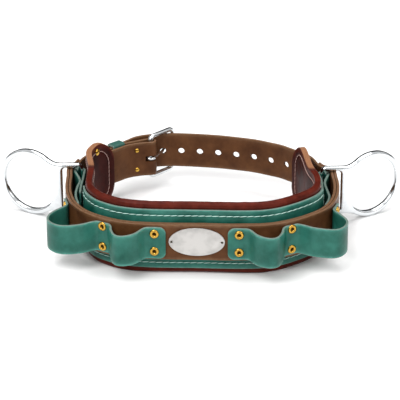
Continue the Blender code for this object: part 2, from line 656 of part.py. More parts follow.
def make_inner_rivets(belt, inner):
    """Two domes on the buckle end's inner face, and one on the left tongue."""
    distance = inner.nearest(BUCKLE_RIVET_PLACE)
    inward = -inner.outward(distance)
    place = inner.at(distance) + inward * PLY_GAP
    for side, word in ((1, "upper"), (-1, "lower")):
        height = STRAP_MIDDLE + side * BUCKLE_RIVET_SPACING / 2
        name = "buckle_rivet_" + word
        turned(name, DOME_RIVET, metal(name, BRASS), belt, (*place, height), inward.to_3d())
    line = pad_line()
    distance = min((s for s in line.along if line.at(s).x < 0),
                   key=lambda s: abs(line.at(s).y - TONGUE_RIVET_Y))
    inward = -line.outward(distance)
    place = line.at(distance) + inward * (TONGUE_HALF + 2 * GAP)
    turned("tongue_rivet", TONGUE_RIVET, metal("tongue_rivet", BRASS), belt,
           (*place, TONGUE_RIVET_HEIGHT), inward.to_3d())


def centre_on_floor(belt, pieces):
    """Moves the belt so that its box stands centred on the origin."""
    graph = bpy.context.evaluated_depsgraph_get()
    corners = []
    for piece in pieces:
        evaluated = piece.evaluated_get(graph)
        corners += [evaluated.matrix_world @ vert.co for vert in evaluated.to_mesh().vertices]
        evaluated.to_mesh_clear()
    low = [min(corner[axis] for corner in corners) for axis in range(3)]
    high = [max(corner[axis] for corner in corners) for axis in range(3)]
    belt.location = (-(low[0] + high[0]) / 2, -(low[1] + high[1]) / 2, -low[2])
    print("moved by", [round(value / MM, 3) for value in belt.location], "mm")


def main():
    for old in list(bpy.data.objects):
        bpy.data.objects.remove(old)
    collection = bpy.data.collections.new("lineman_belt")
    cutters = bpy.data.collections.new("cutters")
    for folder in (collection, cutters):
        bpy.context.scene.collection.children.link(folder)
    belt = bpy.data.objects.new("belt_origin", None)
    collection.objects.link(belt)
    inner = strap_inner_line()
    base = inner.offset(FACING_OFFSET + STRAP_PLY / 2)
    make_pad(belt)
    make_face(belt)
    make_strap(belt, cutters, inner)
    make_facing(belt, inner)
    make_plate(belt, base)
    for side, word in ((-1, "left"), (1, "right")):
        make_tool_loop(belt, base, side, word)
        make_loop_rivets(belt, base, side, word)
        make_ring(belt, side, word)
        make_ring_wrap(belt, side, word)
    make_frame(belt)
    make_prong(belt)
    make_keeper(belt)
    make_inner_rivets(belt, inner)
    bpy.context.view_layer.update()
    centre_on_floor(belt, [piece for piece in collection.objects if piece.type != "EMPTY"])


main()
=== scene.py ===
"""Lineman belt: the looks of a padded leather work belt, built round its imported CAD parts.

Plan tables are in millimetres, seen from above, as in the CAD source. They run from the belt's left to
its right, so that a line's right-hand side is the outside of the belt. PLAN_SHIFT and MM take them to the
frame's metres. A table for both sides or for the left one is written as for the right side, and its x is
turned round for the left.
"""

import math

import bmesh
import bpy
import numpy as np
from mathutils import Matrix, Vector, noise


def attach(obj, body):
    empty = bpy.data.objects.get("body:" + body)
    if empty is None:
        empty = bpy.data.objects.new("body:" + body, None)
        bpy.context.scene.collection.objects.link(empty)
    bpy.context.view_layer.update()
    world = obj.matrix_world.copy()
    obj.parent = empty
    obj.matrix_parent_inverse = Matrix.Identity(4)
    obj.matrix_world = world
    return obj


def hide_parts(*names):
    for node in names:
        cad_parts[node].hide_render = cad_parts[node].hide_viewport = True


bl_info = {
    "name": "Lineman Belt",
    "version": (1, 0, 0),
    "blender": (4, 5, 0),
    "location": "3D View > Sidebar > Lineman Belt",
    "description": "Builds a lineman's leather body belt with its rings, loops and buckle",
    "category": "Object",
}

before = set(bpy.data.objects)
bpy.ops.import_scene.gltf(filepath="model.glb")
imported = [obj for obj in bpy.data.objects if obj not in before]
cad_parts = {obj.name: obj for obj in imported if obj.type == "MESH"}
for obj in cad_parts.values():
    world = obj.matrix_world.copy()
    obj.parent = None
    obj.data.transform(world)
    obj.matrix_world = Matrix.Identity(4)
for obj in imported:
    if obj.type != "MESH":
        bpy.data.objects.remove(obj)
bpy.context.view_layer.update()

MM = 0.001
PLAN_SHIFT = np.array([2.496, -20.149, -0.262])  # from the plan tables to the frame
GAP = 0.35

STRAP_MIDDLE = 45.3
PLY_GAP = 0.5
FACING_LEFT_END, FACING_RIGHT_END = (-143.5, 74.0), (137.0, 74.0)
STRAP_LEFT = [(0, -98.5), (34, -99), (60, -97.8), (75, -96.5), (93, -91.5), (112, -81.5), (127, -70),
              (137, -57), (143.8, -43.5), (148.2, -29.5), (151.3, -14.5), (153, 2), (153.6, 17), (154, 30),
              (155, 40), (155.2, 47), (153.8, 54)]
STRAP_RIGHT = [(0, -98.5), (34, -99), (60, -97.8), (75, -96.5), (93, -91.5), (113, -80.5), (128, -68.5),
               (141, -55.5), (151, -37.5), (156.5, -14), (158, 8), (157.6, 22), (156.4, 34), (155.4, 47),
               (153.8, 54)]
BUCKLE_SIDE = [(-150.8, 60), (-147.6, 66), (-145.2, 75), (-141, 84.5), (-134, 92), (-126, 96),
               (-118.5, 98.6), (-111.5, 101.6), (-106, 106.2), (-100.5, 111.7), (-94.5, 117.7),
               (-88, 121.8), (-80, 125.1), (-72, 127.4)]
BILLET_SIDE = [(150.5, 59), (145.5, 62), (141, 66.5), (137.8, 73), (134.8, 82), (130.5, 91.5),
               (123.5, 100.5), (114, 109), (104, 117.5), (95, 125), (81.5, 132), (62, 141), (39, 147.5),
               (17, 152), (-5.4, 155), (-31, 157), (-43, 157), (-59, 154.3), (-72, 151), (-84, 145),
               (-93.5, 134.5)]
BILLET_HOLE = 7.9
BILLET_HOLE_DROP = 1.0
BILLET_HOLE_PITCH = 23.3
BILLET_FREE_HOLES = 7
BILLET_TIP_ROUND = 12.0
KNOT_STEP = 4.0

KEEPER_FOOT = Vector((-100.5, 111.7))
KEEPER_HEADING = math.radians(45)
KEEPER_LENGTH = 18.0
KEEPER_WALL = 2.5
KEEPER_ARCH = 2.0
KEEPER_GAP = 0.5
KEEPER_EDGE = 0.6
PAST_KEEPER = 4.0

HEEL_BAR = Vector((-66.5, 136.0))
END_BAR = Vector((-41.0, 164.2))
FRAME_WIRE = 6.0
FRAME_HEIGHT = 53.0
FRAME_CORNER = 5.5
PRONG_WIRE = 4.0
PRONG_MIDDLE = STRAP_MIDDLE - 0.6
PRONG_HOLE = (-52.4, 158.6)
PRONG_CURL = FRAME_WIRE / 2 + PRONG_WIRE / 2 + GAP
PRONG_CURL_FROM, PRONG_CURL_TO = 110.0, 339.0  # degrees round the heel bar
PRONG_SHANK = [(-57.8, 143.5), (-53.6, 152.5), (-51.9, 158.7), (-50.2, 163.2), (-46.6, 167.3), (-42, 170)]
FOLD_RADIUS = 6.0
FOLD_FROM, FOLD_TO = -80.0, 117.0  # degrees round the heel bar
FOLD_SLOT_HEIGHT = 7.5
FOLD_SLOT_BACK = 8.0

PAD_HEIGHT = 90.0
PAD_ROLL = 4.7
PAD_NECK = 3.9
TONGUE_HALF = 3.6
TONGUE_CORNER = 32.0
PAD_ROWS = 40  # of vertices up each broad face
NECK_IN_ROLLS = 2.2  # radii of the roll from the pad's edge to the flat of its neck
PAD_SCALLOP = 1.5
PAD_SCALLOP_REACH = 75.0
TONGUE_PLY_GROOVE = 0.7
ROLL_END_Y, TONGUE_START_Y = -40.0, -22.0
TONGUE_DYE_FROM_Y, TONGUE_DYE_TO_Y = 4.0, 12.0  # where the dyed edge turns to raw leather
TONGUE_RAW_FROM_Y = TONGUE_DYE_FROM_Y - 3.0
PAD_LEFT = [(0, -90.2), (40, -90.6), (60, -89.8), (74, -88), (88.5, -83.9), (100.5, -77.6), (114, -67),
            (124, -51.5), (128, -38), (128.8, -24), (128.6, -8), (129.2, 6), (131.2, 20), (133.8, 34),
            (135, 44), (134.8, 53), (131.5, 65), (126, 75.5), (118.5, 85), (110.5, 93.5)]
PAD_RIGHT = [(0, -90.2), (40, -90.6), (60, -89.8), (74, -88.2), (92.6, -81), (112.3, -67), (127.6, -52.5),
             (135, -41), (138.3, -29), (138, -16), (135.8, -4), (132, 8), (129.3, 20), (127, 36),
             (125.4, 48), (123.6, 60), (120.8, 73), (117, 84), (112.3, 93.5)]

FACE_PLY = 2.5
FACE_OFFSET = 6.1
FACE_LOW, FACE_HIGH = 8.4, 82.6
FACE_CORNER = 18.0
FACE_END_X, FACE_END_Y = 135.0, -20.0

WRAP_PLY = 2.8
WRAP_CLEAR = 0.65
WRAP_LOW, WRAP_HIGH = 25.0, 65.0
WRAP_CORNER = 3.0
WRAP_FROM, WRAP_TO = -17, 180  # degrees round the ring's bar
WRAP_OUTER_TAIL = {"left": [(140.6, -45), (144.5, -30), (146.2, -15), (145.6, 3), (144.3, 20)],
                   "right": [(147.8, -40), (150.7, -30), (152.8, -17), (151.6, -5), (149, 12), (148.2, 26)]}
WRAP_INNER_TAIL = {"left": [(141.0, 24), (141.6, 3), (141.4, -12)],
                   "right": [(143.8, 32), (144.6, 20), (144.8, 8), (144, -4)]}

RING_BAR = Vector((147.0, 49.0))
RING_MIDDLE_HEIGHT = 43.0
RING_THICKNESS = 7.5
RING_EDGE = 2.9  # the forging's rounded edge; the CAD ring has a plain 2.2 mm chamfer there
RING_BAR_WIDTH = 8.0
RING_SLOT_TO = 20.6
RING_SLOT_HEIGHT = 50.0
RING_SLOT_CORNER = 3.0
RING_ARM = 6.3
RING_HEEL_CORNER = 7.0
RING_EYE_CENTRE = 63.5
RING_EYE_RADIUS = 35.0
RING_STOCK = 7.5
RING_FILLET = 30.0
RING_YAW = {"left": -4.0, "right": 4.0}
RING_CRANK = 28.0
RING_CRANK_FROM, RING_CRANK_TO = 20.0, 34.0
RING_CRANK_CUTS = 13  # across the bend, so that it comes out round

LOOP_PLY = 2.7
LOOP_REST = LOOP_PLY / 2 + 0.45
LOOP_MIDDLE = 45.3
LOOP_HALF_WIDTHS = [(0, 20.0), (60, 19.0), (200, 18.0)]
LOOP_CORNER = 8.0
LOOP_OUTER_CORNER = 3.0
LOOP_LINE = [(35.5, 0), (46, 0), (57, 0.6), (61.5, 4), (68.7, 16.5), (77.4, 25.3), (85.5, 25), (93, 14),
             (97.5, 4.5), (103, 0), (109.9, 0), (116.4, 0), (121, 5), (127.4, 19.7), (138.3, 35.2),
             (147.3, 38.5), (155.9, 35.3), (163.1, 26.5), (170.2, 11.5), (174, 4), (179.5, 0), (195.5, 0)]

HEAD_FOOT = 0.6  # depth of the turned heads' hidden foot
# radius and height of the turned heads; the tubular ones are open down to the strap, and their bore is
# painted near black as its shade
TUBE_RIVET = [(5.4, 0), (5.4, 0.5), (5.1, 1.1), (4.6, 1.5), (4.0, 1.65), (3.3, 1.6), (2.6, 1.35),
              (2.1, 0.9), (1.9, 0.4), (1.8, 0.1), (0, 0.1)]
# radius inside which a tubular rivet's bore is painted near black as its shade
TUBE_BORE = 1.95
DOME_RIVET = [(3.1, 0), (3.0, 0.4), (2.6, 0.9), (1.9, 1.35), (1.0, 1.57), (0, 1.62)]
TONGUE_RIVET = [(4.5, 0), (4.4, 0.6), (3.8, 1.25), (2.9, 1.8), (1.6, 2.2), (0, 2.32)]
PLATE_PIN = [(2.0, 0), (1.95, 0.45), (1.7, 0.75), (1.4, 0.78), (1.15, 0.5), (1.05, 0.2), (0, 0.2)]
# radius inside which a plate pin's hollow is painted near black as its shade
PIN_BORE = 1.2
LOOP_RIVETS = [("inner", 48.5, 11.0, 46.1), ("middle", 109.7, 12.8, 46.5), ("outer", 187.5, 11.0, 45.3)]
BUCKLE_RIVET_PLACE = (-82.5, 124.0)
BUCKLE_RIVET_SPACING = 25.8
TONGUE_RIVET_Y, TONGUE_RIVET_HEIGHT = 68.0, 81.0

PLATE_LENGTH, PLATE_HEIGHT, PLATE_THICKNESS = 64.5, 35.1, 1.0
PLATE_MIDDLE_HEIGHT = 46.8
PLATE_PIN_X = 29.0
PLATE_EDGE = 0.35
PLATE_RIM = 1.5
PLATE_RIM_SLOPE, PLATE_RIM_RISE = 0.3, 0.18

# Saddle stitches: a row inside the face ply's edge, and one inside each tongue's
FACE_STITCH_INSET = 7.3
FACE_STITCH_PITCH = 7.9
FACE_STITCH_LENGTH = 8.3
TONGUE_STITCH_INSET = 9.5
TONGUE_STITCH_PITCH = 5.6
TONGUE_STITCH_LENGTH = 5.9
TONGUE_STITCH_FROM_Y = -26.0
THREAD = 1.0
STITCH_SLANT = math.radians(5)
STITCH_GROOVE = 0.8
STITCH_GROOVE_WIDTH = 1.5

LENGTH_STEP = 3.0  # between rows along a band
EASED_EDGE = 0.8
PLY_GROOVE = 0.35
RIM_ANGLES = (0, 30, 60, 90)
RIM_POINTS = 2 * len(RIM_ANGLES) + 3
UNEVEN_EDGE = 0.25
UNEVEN_SKIN = 0.35
WRINKLE = 0.5
OUTER_SHARE = 0.4  # of the unevenness, on the pad's outside
# Amounts of the paler rubbed tone: rubbing of the leather, and partly a painted highlight on the edges and
# the pad's rolls
EDGE_RUB_AND_HIGHLIGHT, EDGE_RUB_AND_HIGHLIGHT_REACH = 0.55, 2.5
ROLL_RUB_AND_HIGHLIGHT, SKIN_WEAR = 0.5, 0.05
KEEPER_WEAR, KEEPER_WEAR_REACH = 0.6, 2
SIDES = ((-1, "left"), (1, "right"))

# Sizes of the patterns in the materials, in millimetres
LEATHER_CLOUD, RUB_HIGHLIGHT_PATCH, LEATHER_PORE = 26, 7, 0.7
FIBRE, TWIST, HANDLING_MARK, SCRATCH, PLATE_STAIN = 5, 0.9, 6, 0.8, 11
FIBRE_DRAWN, SCRATCH_DRAWN = 6.0, 0.04  # how much finer across, and along
WORN_SMOOTHER = 0.35
# Pebble size in millimetres, roughness and specular level of each leather
GREEN_GRAIN = (1.6, 0.42, 0.28)
KEEPER_GRAIN = (1.4, 0.42, 0.25)
BROWN_GRAIN = (1.4, 0.5, 0.14)
BURGUNDY_GRAIN = (2.2, 0.48, 0.06)
# Roughness of each metal, and how much its handling marks darken it
BRASS_FINISH = (0.16, 0.25)
# BORE_FINISH is for the near-black brass that paints the shade inside the bores
BORE_FINISH = (0.5, 0.25)
PLATED_FINISH = (0.07, 0.1)

CAMERA_ELEVATION = math.radians(25)
CAMERA_AZIMUTH = math.radians(2)
CAMERA_DISTANCE = 2.6
CAMERA_TARGET = Vector((0.0025, -0.02015, 0.04974))
FOCAL_PIXELS = 2189
PHOTO_PIXELS = 400
SENSOR = 36.0
# name, place and size in metres, and power in watts
LIGHTS = [("key", (-0.9, -1.6, 2.2), 1.4, 46), ("fill", (1.6, -1.2, 1.5), 1.2, 14),
          ("top", (0, 0.6, 2.4), 1.8, 34)]


def linear(code):
    """A linear colour from an sRGB hex value."""
    channels = [int(code[i:i + 2], 16) / 255 for i in (1, 3, 5)]
    return [c / 12.92 if c <= 0.04045 else ((c + 0.055) / 1.055) ** 2.4 for c in channels]


class PlanLine:
    """A line seen from above, read by the distance along it."""

    def __init__(self, points):
        self.points = np.array([tuple(point)[:2] for point in points], float)
        steps = np.linalg.norm(np.diff(self.points, axis=0), axis=1)
        self.along = np.concatenate([[0.0], np.cumsum(steps)])
        self.length = float(self.along[-1])

    @classmethod
    def through(cls, knots, step=0.6):
        """A centripetal Catmull-Rom curve through the knots."""
        knots = np.array([tuple(knot)[:2] for knot in knots], float)
        spans = np.linalg.norm(np.diff(knots, axis=0), axis=1)
        time = np.concatenate([[0.0], np.cumsum(np.sqrt(spans))])
        slope = np.gradient(knots, time, axis=0)
        slope[1:-1] = (knots[2:] - knots[:-2]) / (time[2:] - time[:-2])[:, None]
        points = []
        for i, span in enumerate(spans):
            width = time[i + 1] - time[i]
            t = np.linspace(0, 1, max(2, int(span / step)), endpoint=False)[:, None]
            points.append((2 * t**3 - 3 * t**2 + 1) * knots[i] + (t**3 - 2 * t**2 + t) * width * slope[i]
                          + (3 * t**2 - 2 * t**3) * knots[i + 1] + (t**3 - t**2) * width * slope[i + 1])
        return cls(np.concatenate(points + [knots[-1:]]))

    def at(self, distance):
        return Vector([np.interp(distance, self.along, self.points[:, axis]) for axis in (0, 1)])

    def heading(self, distance, reach=0.8):
        ahead = self.at(min(distance + reach, self.length))
        behind = self.at(max(distance - reach, 0.0))
        return (ahead - behind).normalized()

    def outward(self, distance):
        heading = self.heading(distance)
        return Vector((heading.y, -heading.x))

    def offset(self, gap):
        return PlanLine([self.at(s) + gap * self.outward(s) for s in self.along])

    def between(self, start, end):
        inside = [s for s in self.along if start < s < end]
        return PlanLine([self.at(s) for s in [start, *inside, end]])

    def nearest(self, point):
        gaps = np.linalg.norm(self.points - np.array(tuple(point)[:2]), axis=1)
        return float(self.along[int(np.argmin(gaps))])

    def rows(self, step=LENGTH_STEP, ends=(0.0, 0.0)):
        """Distances for a smooth copy, closer together in its rounded corners and eased ends."""
        angles = [math.radians(angle) for angle in range(0, 91, 10)]
        start = [radius * (1 - math.cos(angle)) for radius in (EASED_EDGE, ends[0]) for angle in angles]
        end = [self.length - radius * (1 - math.cos(angle)) for radius in (EASED_EDGE, ends[1])
               for angle in angles]
        even = np.arange(step, self.length - step / 2, step)
        spots = sorted({0.0, self.length, *start, *end, *even})
        return [s for s, after in zip(spots, spots[1:] + [math.inf]) if after - s > 0.02]


def mirrored(rows):
    """The left side's points, from the back to the front, without the one at the middle."""
    return [(-x, y) for x, y in rows[:0:-1]]


def in_frame(point):
    """A point of the plan tables in the frame's metres."""
    return Vector((np.array(point, float) + PLAN_SHIFT) * MM)


def arc(centre, radius, start, end, count):
    """Points of an arc between two angles in degrees."""
    angles = np.radians(np.linspace(start, end, count))
    return [(centre[0] + radius * math.cos(a), centre[1] + radius * math.sin(a)) for a in angles]


def rounded_box(low, high, radius, count=8):
    """The outline of a rectangle with rounded corners, anticlockwise."""
    centres = [(high[0], high[1]), (low[0], high[1]), (low[0], low[1]), (high[0], low[1])]
    insets = [(-radius, -radius), (radius, -radius), (radius, radius), (-radius, radius)]
    outline = []
    for quarter, (corner, inset) in enumerate(zip(centres, insets)):
        centre = (corner[0] + inset[0], corner[1] + inset[1])
        outline += arc(centre, radius, 90 * quarter, 90 * quarter + 90, count)
    return outline


def corner_trim(distance, radius):
    """How much a rounded corner takes off an edge at this distance from the end."""
    if distance >= radius:
        return 0.0
    return radius - math.sqrt(radius**2 - (radius - distance) ** 2)


def smooth_step(value, low, high):
    t = min(max((value - low) / (high - low), 0.0), 1.0)
    return t * t * (3 - 2 * t)


def sway(distance, rise, reach, size):
    """A slow, fixed unevenness of hand-worked leather, in millimetres."""
    return size * noise.noise(Vector((distance / reach, rise / reach, reach)))


def keeper_point(along, rise):
    """A point by the keeper, along the strap and outward from the strap's inner face."""
    heading = Vector((math.cos(KEEPER_HEADING), math.sin(KEEPER_HEADING)))
    return KEEPER_FOOT + along * heading + rise * Vector((-heading.y, heading.x))


def fold_rise(ply):
    """From the strap's inner face to the folded end's outer one."""
    return 2 * ply + KEEPER_WALL + 2 * KEEPER_GAP


def strap_inner_line(ply):
    """The strap's inner face from the heel bar round the front to the billet's tip."""
    tip = -KEEPER_LENGTH / 2 - PAST_KEEPER
    held = [keeper_point(along, fold_rise(ply) + GAP) for along in (10.0, 0.0, -8.0, tip)]
    return PlanLine.through(BUCKLE_SIDE[::-1] + mirrored(STRAP_LEFT) + STRAP_RIGHT + BILLET_SIDE + held)


def strap_line(inner, ply):
    """Middle of the whole strap: the folded end, the inner ply and the billet."""
    free_end = -KEEPER_LENGTH / 2 - PAST_KEEPER
    rise = fold_rise(ply) - ply / 2
    folded = [keeper_point(along, rise) for along in (free_end, -6.0, 0.0, 6.0, 12.0)]
    turn = arc(HEEL_BAR, FOLD_RADIUS, FOLD_TO, FOLD_FROM, 9)
    middle = inner.offset(ply / 2)
    rest = [middle.at(s) for s in np.arange(0.0, middle.length, KNOT_STEP)]
    return PlanLine.through(folded + turn + rest + [middle.at(middle.length)])


def facing_offset(ply):
    return 1.5 * ply + PLY_GAP


def front_of(line):
    """Distance along a line to the middle of the belt's front."""
    return line.nearest((0, line.points[:, 1].min()))


def loop_point(base, side, along, standoff):
    """A point beside the strap's outer face, along it from the name plate."""
    distance = front_of(base) + side * along
    return base.at(distance) + base.outward(distance) * standoff


def rim(half, groove):
    """Across a cut edge from the outer face to the inner one: how far out, and how far above."""
    eased = min(EASED_EDGE, half)
    corner = [(half - eased + eased * math.cos(math.radians(angle)),
               eased * (math.sin(math.radians(angle)) - 1)) for angle in RIM_ANGLES]
    middle = [(0.2 * half, 0.0), (0.0, -groove), (-0.2 * half, 0.0)]
    return corner + middle + [(-out, above) for out, above in corner[::-1]]


def band_section(line, thickness, low, high, corners=(0.0, 0.0), groove=PLY_GROOVE, rows=14, relief=None):
    """Makes the function that gives a leather band's ring of (out, height, rub and painted highlight) at a
    distance.
    """

    def section(distance):
        ends = (distance, line.length - distance)
        half = thickness / 2 - corner_trim(min(ends), EASED_EDGE)
        trim = corner_trim(ends[0], corners[0]) + corner_trim(ends[1], corners[1])
        bottom = (low(distance) if callable(low) else low) + trim + sway(distance, 0, 31, UNEVEN_EDGE)
        top = (high(distance) if callable(high) else high) - trim + sway(distance, 9, 37, UNEVEN_EDGE)
        heights = np.linspace(bottom + EASED_EDGE, top - EASED_EDGE, rows + 2)[1:-1]
        sunk = [relief(distance, z) if relief else 0.0 for z in heights]
        # paler towards the edges, partly rubbing and partly a painted highlight
        rub_and_highlight = [EDGE_RUB_AND_HIGHLIGHT * math.exp(-min(z - bottom, top - z) / EDGE_RUB_AND_HIGHLIGHT_REACH) for z in heights]
        outer = [(half + d, z, w) for z, d, w in zip(heights, sunk, rub_and_highlight)]
        inner = [(-half, z, w) for z, w in zip(heights[::-1], rub_and_highlight[::-1])]
        edge = rim(half, groove)
        upper = [(out, top + above, 1.0) for out, above in edge]
        lower = [(-out, bottom - above, 1.0) for out, above in edge]
        return outer + upper + inner + lower

    return section


def band_slots(rows):
    """Material slot of each lengthwise strip: 0 for leather, 1 for the cut edges, 2 for the inner face."""
    edge = [0] + [1] * (RIM_POINTS - 3) + [2, 2]
    return [0] * rows + edge + [2] * rows + edge[::-1]


def roll_up(cells, rings, line, spots, rub_and_highlight):
    """Takes a flat grid's vertices to their places on the rings along the line."""
    frames = [(line.at(distance), line.outward(distance)) for distance in spots]
    for vert, (row, column) in cells.items():
        out, height, rub_highlight = rings[row][column % len(rings[row])]
        middle, outward = frames[row]
        vert.co = in_frame((*(middle + outward * out), height))
        vert[rub_and_highlight] = rub_highlight


def tube(name, line, spots, section, slot_of):
    """A closed tube that follows the plan line, from a grid whose long sides are joined."""
    rings = [section(distance) for distance in spots]
    around = len(rings[0])
    widest = rings[len(rings) // 2]
    girth = np.cumsum([0.0] + [MM * math.dist(a[:2], b[:2]) for a, b in
                               zip(widest, widest[1:] + rings[0][:1])])
    body = bmesh.new()
    bmesh.ops.create_grid(body, x_segments=len(spots) - 1, y_segments=around, size=1.0)
    spread = body.loops.layers.uv.new("spread")
    rub_and_highlight = body.verts.layers.float.new("rub_and_highlight")
    cells = {vert: (round((vert.co.x + 1) / 2 * (len(spots) - 1)), round((vert.co.y + 1) / 2 * around))
             for vert in body.verts}
    for face in body.faces:
        face.smooth = True
        row = min(cells[vert][0] for vert in face.verts)
        face.material_index = slot_of(spots[row], min(cells[vert][1] for vert in face.verts))
        for loop in face.loops:
            row, column = cells[loop.vert]
            loop[spread].uv = (spots[row] * MM, girth[column])
    roll_up(cells, rings, line, spots, rub_and_highlight)
    bmesh.ops.remove_doubles(body, verts=body.verts, dist=0.001 * MM)
    bmesh.ops.holes_fill(body, edges=[edge for edge in body.edges if edge.is_boundary], sides=0)
    return finished(name, body)


def finished(name, body, recalculate=True):
    """Turns a bmesh into an object whose place is in its mesh."""
    if recalculate:
        bmesh.ops.recalc_face_normals(body, faces=body.faces)
    mesh = bpy.data.meshes.new(name)
    body.to_mesh(mesh)
    body.free()
    piece = bpy.data.objects.new(name, mesh)
    bpy.context.scene.collection.objects.link(piece)
    return piece


def set_down(body, place, turn):
    """Turns a bmesh and puts it at a place of the plan tables."""
    bmesh.ops.transform(body, matrix=Matrix.Translation(in_frame(place)) @ turn, verts=body.verts)


def turned_to(direction):
    """The turn that points the Z axis along a direction."""
    return Vector((*direction, 0.0)[:3]).to_track_quat("Z", "Y").to_matrix().to_4x4()


def smooth(piece, sharp=40.0):
    piece.data.polygons.foreach_set("use_smooth", [True] * len(piece.data.polygons))
    piece.data.set_sharp_from_angle(angle=math.radians(sharp))


def even_shading(piece):
    """Keeps flat faces flat beside their rounded edges."""
    shading = piece.modifiers.new("even_shading", "WEIGHTED_NORMAL")
    shading.keep_sharp = True


def hand_over(piece, materials, body, node_names):
    """Gives a piece its materials, its body and the CAD nodes that it stands for."""
    for material in materials:
        piece.data.materials.append(material)
    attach(piece, body)
    if node_names:
        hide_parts(*node_names)


def leather_band(name, line, thickness, low, high, corners=(0.0, 0.0), step=LENGTH_STEP, rows=14, **more):
    slots = band_slots(rows)
    section = band_section(line, thickness, low, high, corners, rows=rows, **more)
    return tube(name, line, line.rows(step, corners), section, lambda _, column: slots[column])


def flat_curve(name, outlines, thickness, edge, fineness=4):
    """A 2D curve filled between outlines, as thick as asked with its edges rounded."""
    curve = bpy.data.curves.new(name, "CURVE")
    curve.dimensions = "2D"
    curve.fill_mode = "BOTH"
    curve.extrude = (thickness / 2 - edge) * MM
    curve.bevel_depth = edge * MM
    curve.bevel_resolution = fineness
    curve.offset = -edge * MM
    for outline in outlines:
        spline = curve.splines.new("POLY")
        spline.points.add(len(outline) - 1)
        for knot, (x, y) in zip(spline.points, outline):
            knot.co = (x * MM, y * MM, 0.0, 1.0)
        spline.use_cyclic_u = True
    return curve


def wire_curve(name, points, diameter, closed=False):
    """A round wire through points of the plan tables."""
    curve = bpy.data.curves.new(name, "CURVE")
    curve.dimensions = "3D"
    curve.bevel_depth = diameter / 2 * MM
    curve.bevel_resolution = 5
    curve.use_fill_caps = not closed
    spline = curve.splines.new("POLY")
    spline.points.add(len(points) - 1)
    for knot, point in zip(spline.points, points):
        knot.co = (*in_frame(point), 1.0)
    spline.use_cyclic_u = closed
    return curve


def body_of_curve(curve):
    """The curve's surface as one welded bmesh."""
    shape = bpy.data.objects.new(curve.name, curve)
    bpy.context.scene.collection.objects.link(shape)
    graph = bpy.context.evaluated_depsgraph_get()
    mesh = bpy.data.meshes.new_from_object(shape.evaluated_get(graph))
    bpy.data.objects.remove(shape)
    bpy.data.curves.remove(curve)
    body = bmesh.new()
    body.from_mesh(mesh)
    bpy.data.meshes.remove(mesh)
    bmesh.ops.remove_doubles(body, verts=body.verts, dist=0.01 * MM)
    return body


def turned(name, profile, place, facing, bore=0.0, steps=32):
    """A turned head whose axis points along facing, its foot at a place in the plan tables.

    Faces inside the bore's radius get the second material, the near-black painted shade of the bore.
    """
    body = bmesh.new()
    outline = profile + [(0, -HEAD_FOOT), (profile[0][0], -HEAD_FOOT)]
    spots = [body.verts.new((radius * MM, 0.0, height * MM)) for radius, height in outline]
    ring = [body.edges.new(pair) for pair in zip(spots, spots[1:] + spots[:1])]
    bmesh.ops.spin(body, geom=spots + ring, cent=(0, 0, 0), axis=(0, 0, 1), angle=2 * math.pi,
                   steps=steps, use_merge=True)
    bmesh.ops.remove_doubles(body, verts=body.verts, dist=0.001 * MM)
    for face in body.faces:
        face.material_index = int(max(vert.co.xy.length for vert in face.verts) < bore * MM)
    set_down(body, place, turned_to(facing))
    piece = finished(name, body)
    smooth(piece, sharp=50)
    return piece


def node(tree, kind, inputs=(), **settings):
    """Adds a shader node; inputs hold a value or another node's output for each socket."""
    added = tree.nodes.new("ShaderNode" + kind)
    for name, value in settings.items():
        setattr(added, name, value)
    for socket, value in dict(inputs).items():
        if isinstance(value, bpy.types.NodeSocket):
            tree.links.new(value, added.inputs[socket])
        else:
            added.inputs[socket].default_value = value
    return added


def per_mm(size):
    """The scale that gives a pattern cells of this size in millimetres."""
    return 1 / (size * MM)


def opened(name):
    """A new material with its tree, its shader and its object coordinates."""
    material = bpy.data.materials.new(name)
    material.use_nodes = True
    tree = material.node_tree
    return material, tree, tree.nodes["Principled BSDF"], node(tree, "TexCoord").outputs["Object"]


def set_shader(tree, shader, links, **values):
    for socket, value in values.items():
        shader.inputs[socket.replace("_", " ")].default_value = value
    for socket, value in links.items():
        tree.links.new(value, shader.inputs[socket])


def darker(colour, share):
    return [share * channel for channel in colour]


def ramp(tree, value, *stops):
    """Colours along a value, through (place, colour) stops."""
    added = node(tree, "ValToRGB", {"Fac": value})
    marks = added.color_ramp.elements
    for place, colour in stops[1:-1]:
        marks.new(place).color = (*colour, 1.0)
    for mark, (place, colour) in zip((marks[0], marks[-1]), (stops[0], stops[-1])):
        mark.position, mark.color = place, (*colour, 1.0)
    return added.outputs[0]


def clouded(tree, here, size, detail, roughness=0.5):
    """Fractal noise with features of this size in millimetres."""
    return node(tree, "TexNoise", {"Vector": here, "Scale": per_mm(size), "Detail": detail,
                                   "Roughness": roughness}).outputs["Fac"]


def relief_of(tree, height, strength, depth):
    """Small relief, of this depth in millimetres."""
    return node(tree, "Bump", {"Height": height, "Strength": strength, "Distance": depth * MM}).outputs[0]


def worked_out(tree, operation, *values):
    return node(tree, "Math", dict(enumerate(values)), operation=operation).outputs[0]


def blended(tree, amount, first, second, how="MIX"):
    """Two colours mixed; 6 and 7 are the Mix node's colour sockets."""
    return node(tree, "Mix", {0: amount, 6: first, 7: second}, data_type="RGBA", blend_type=how).outputs[2]


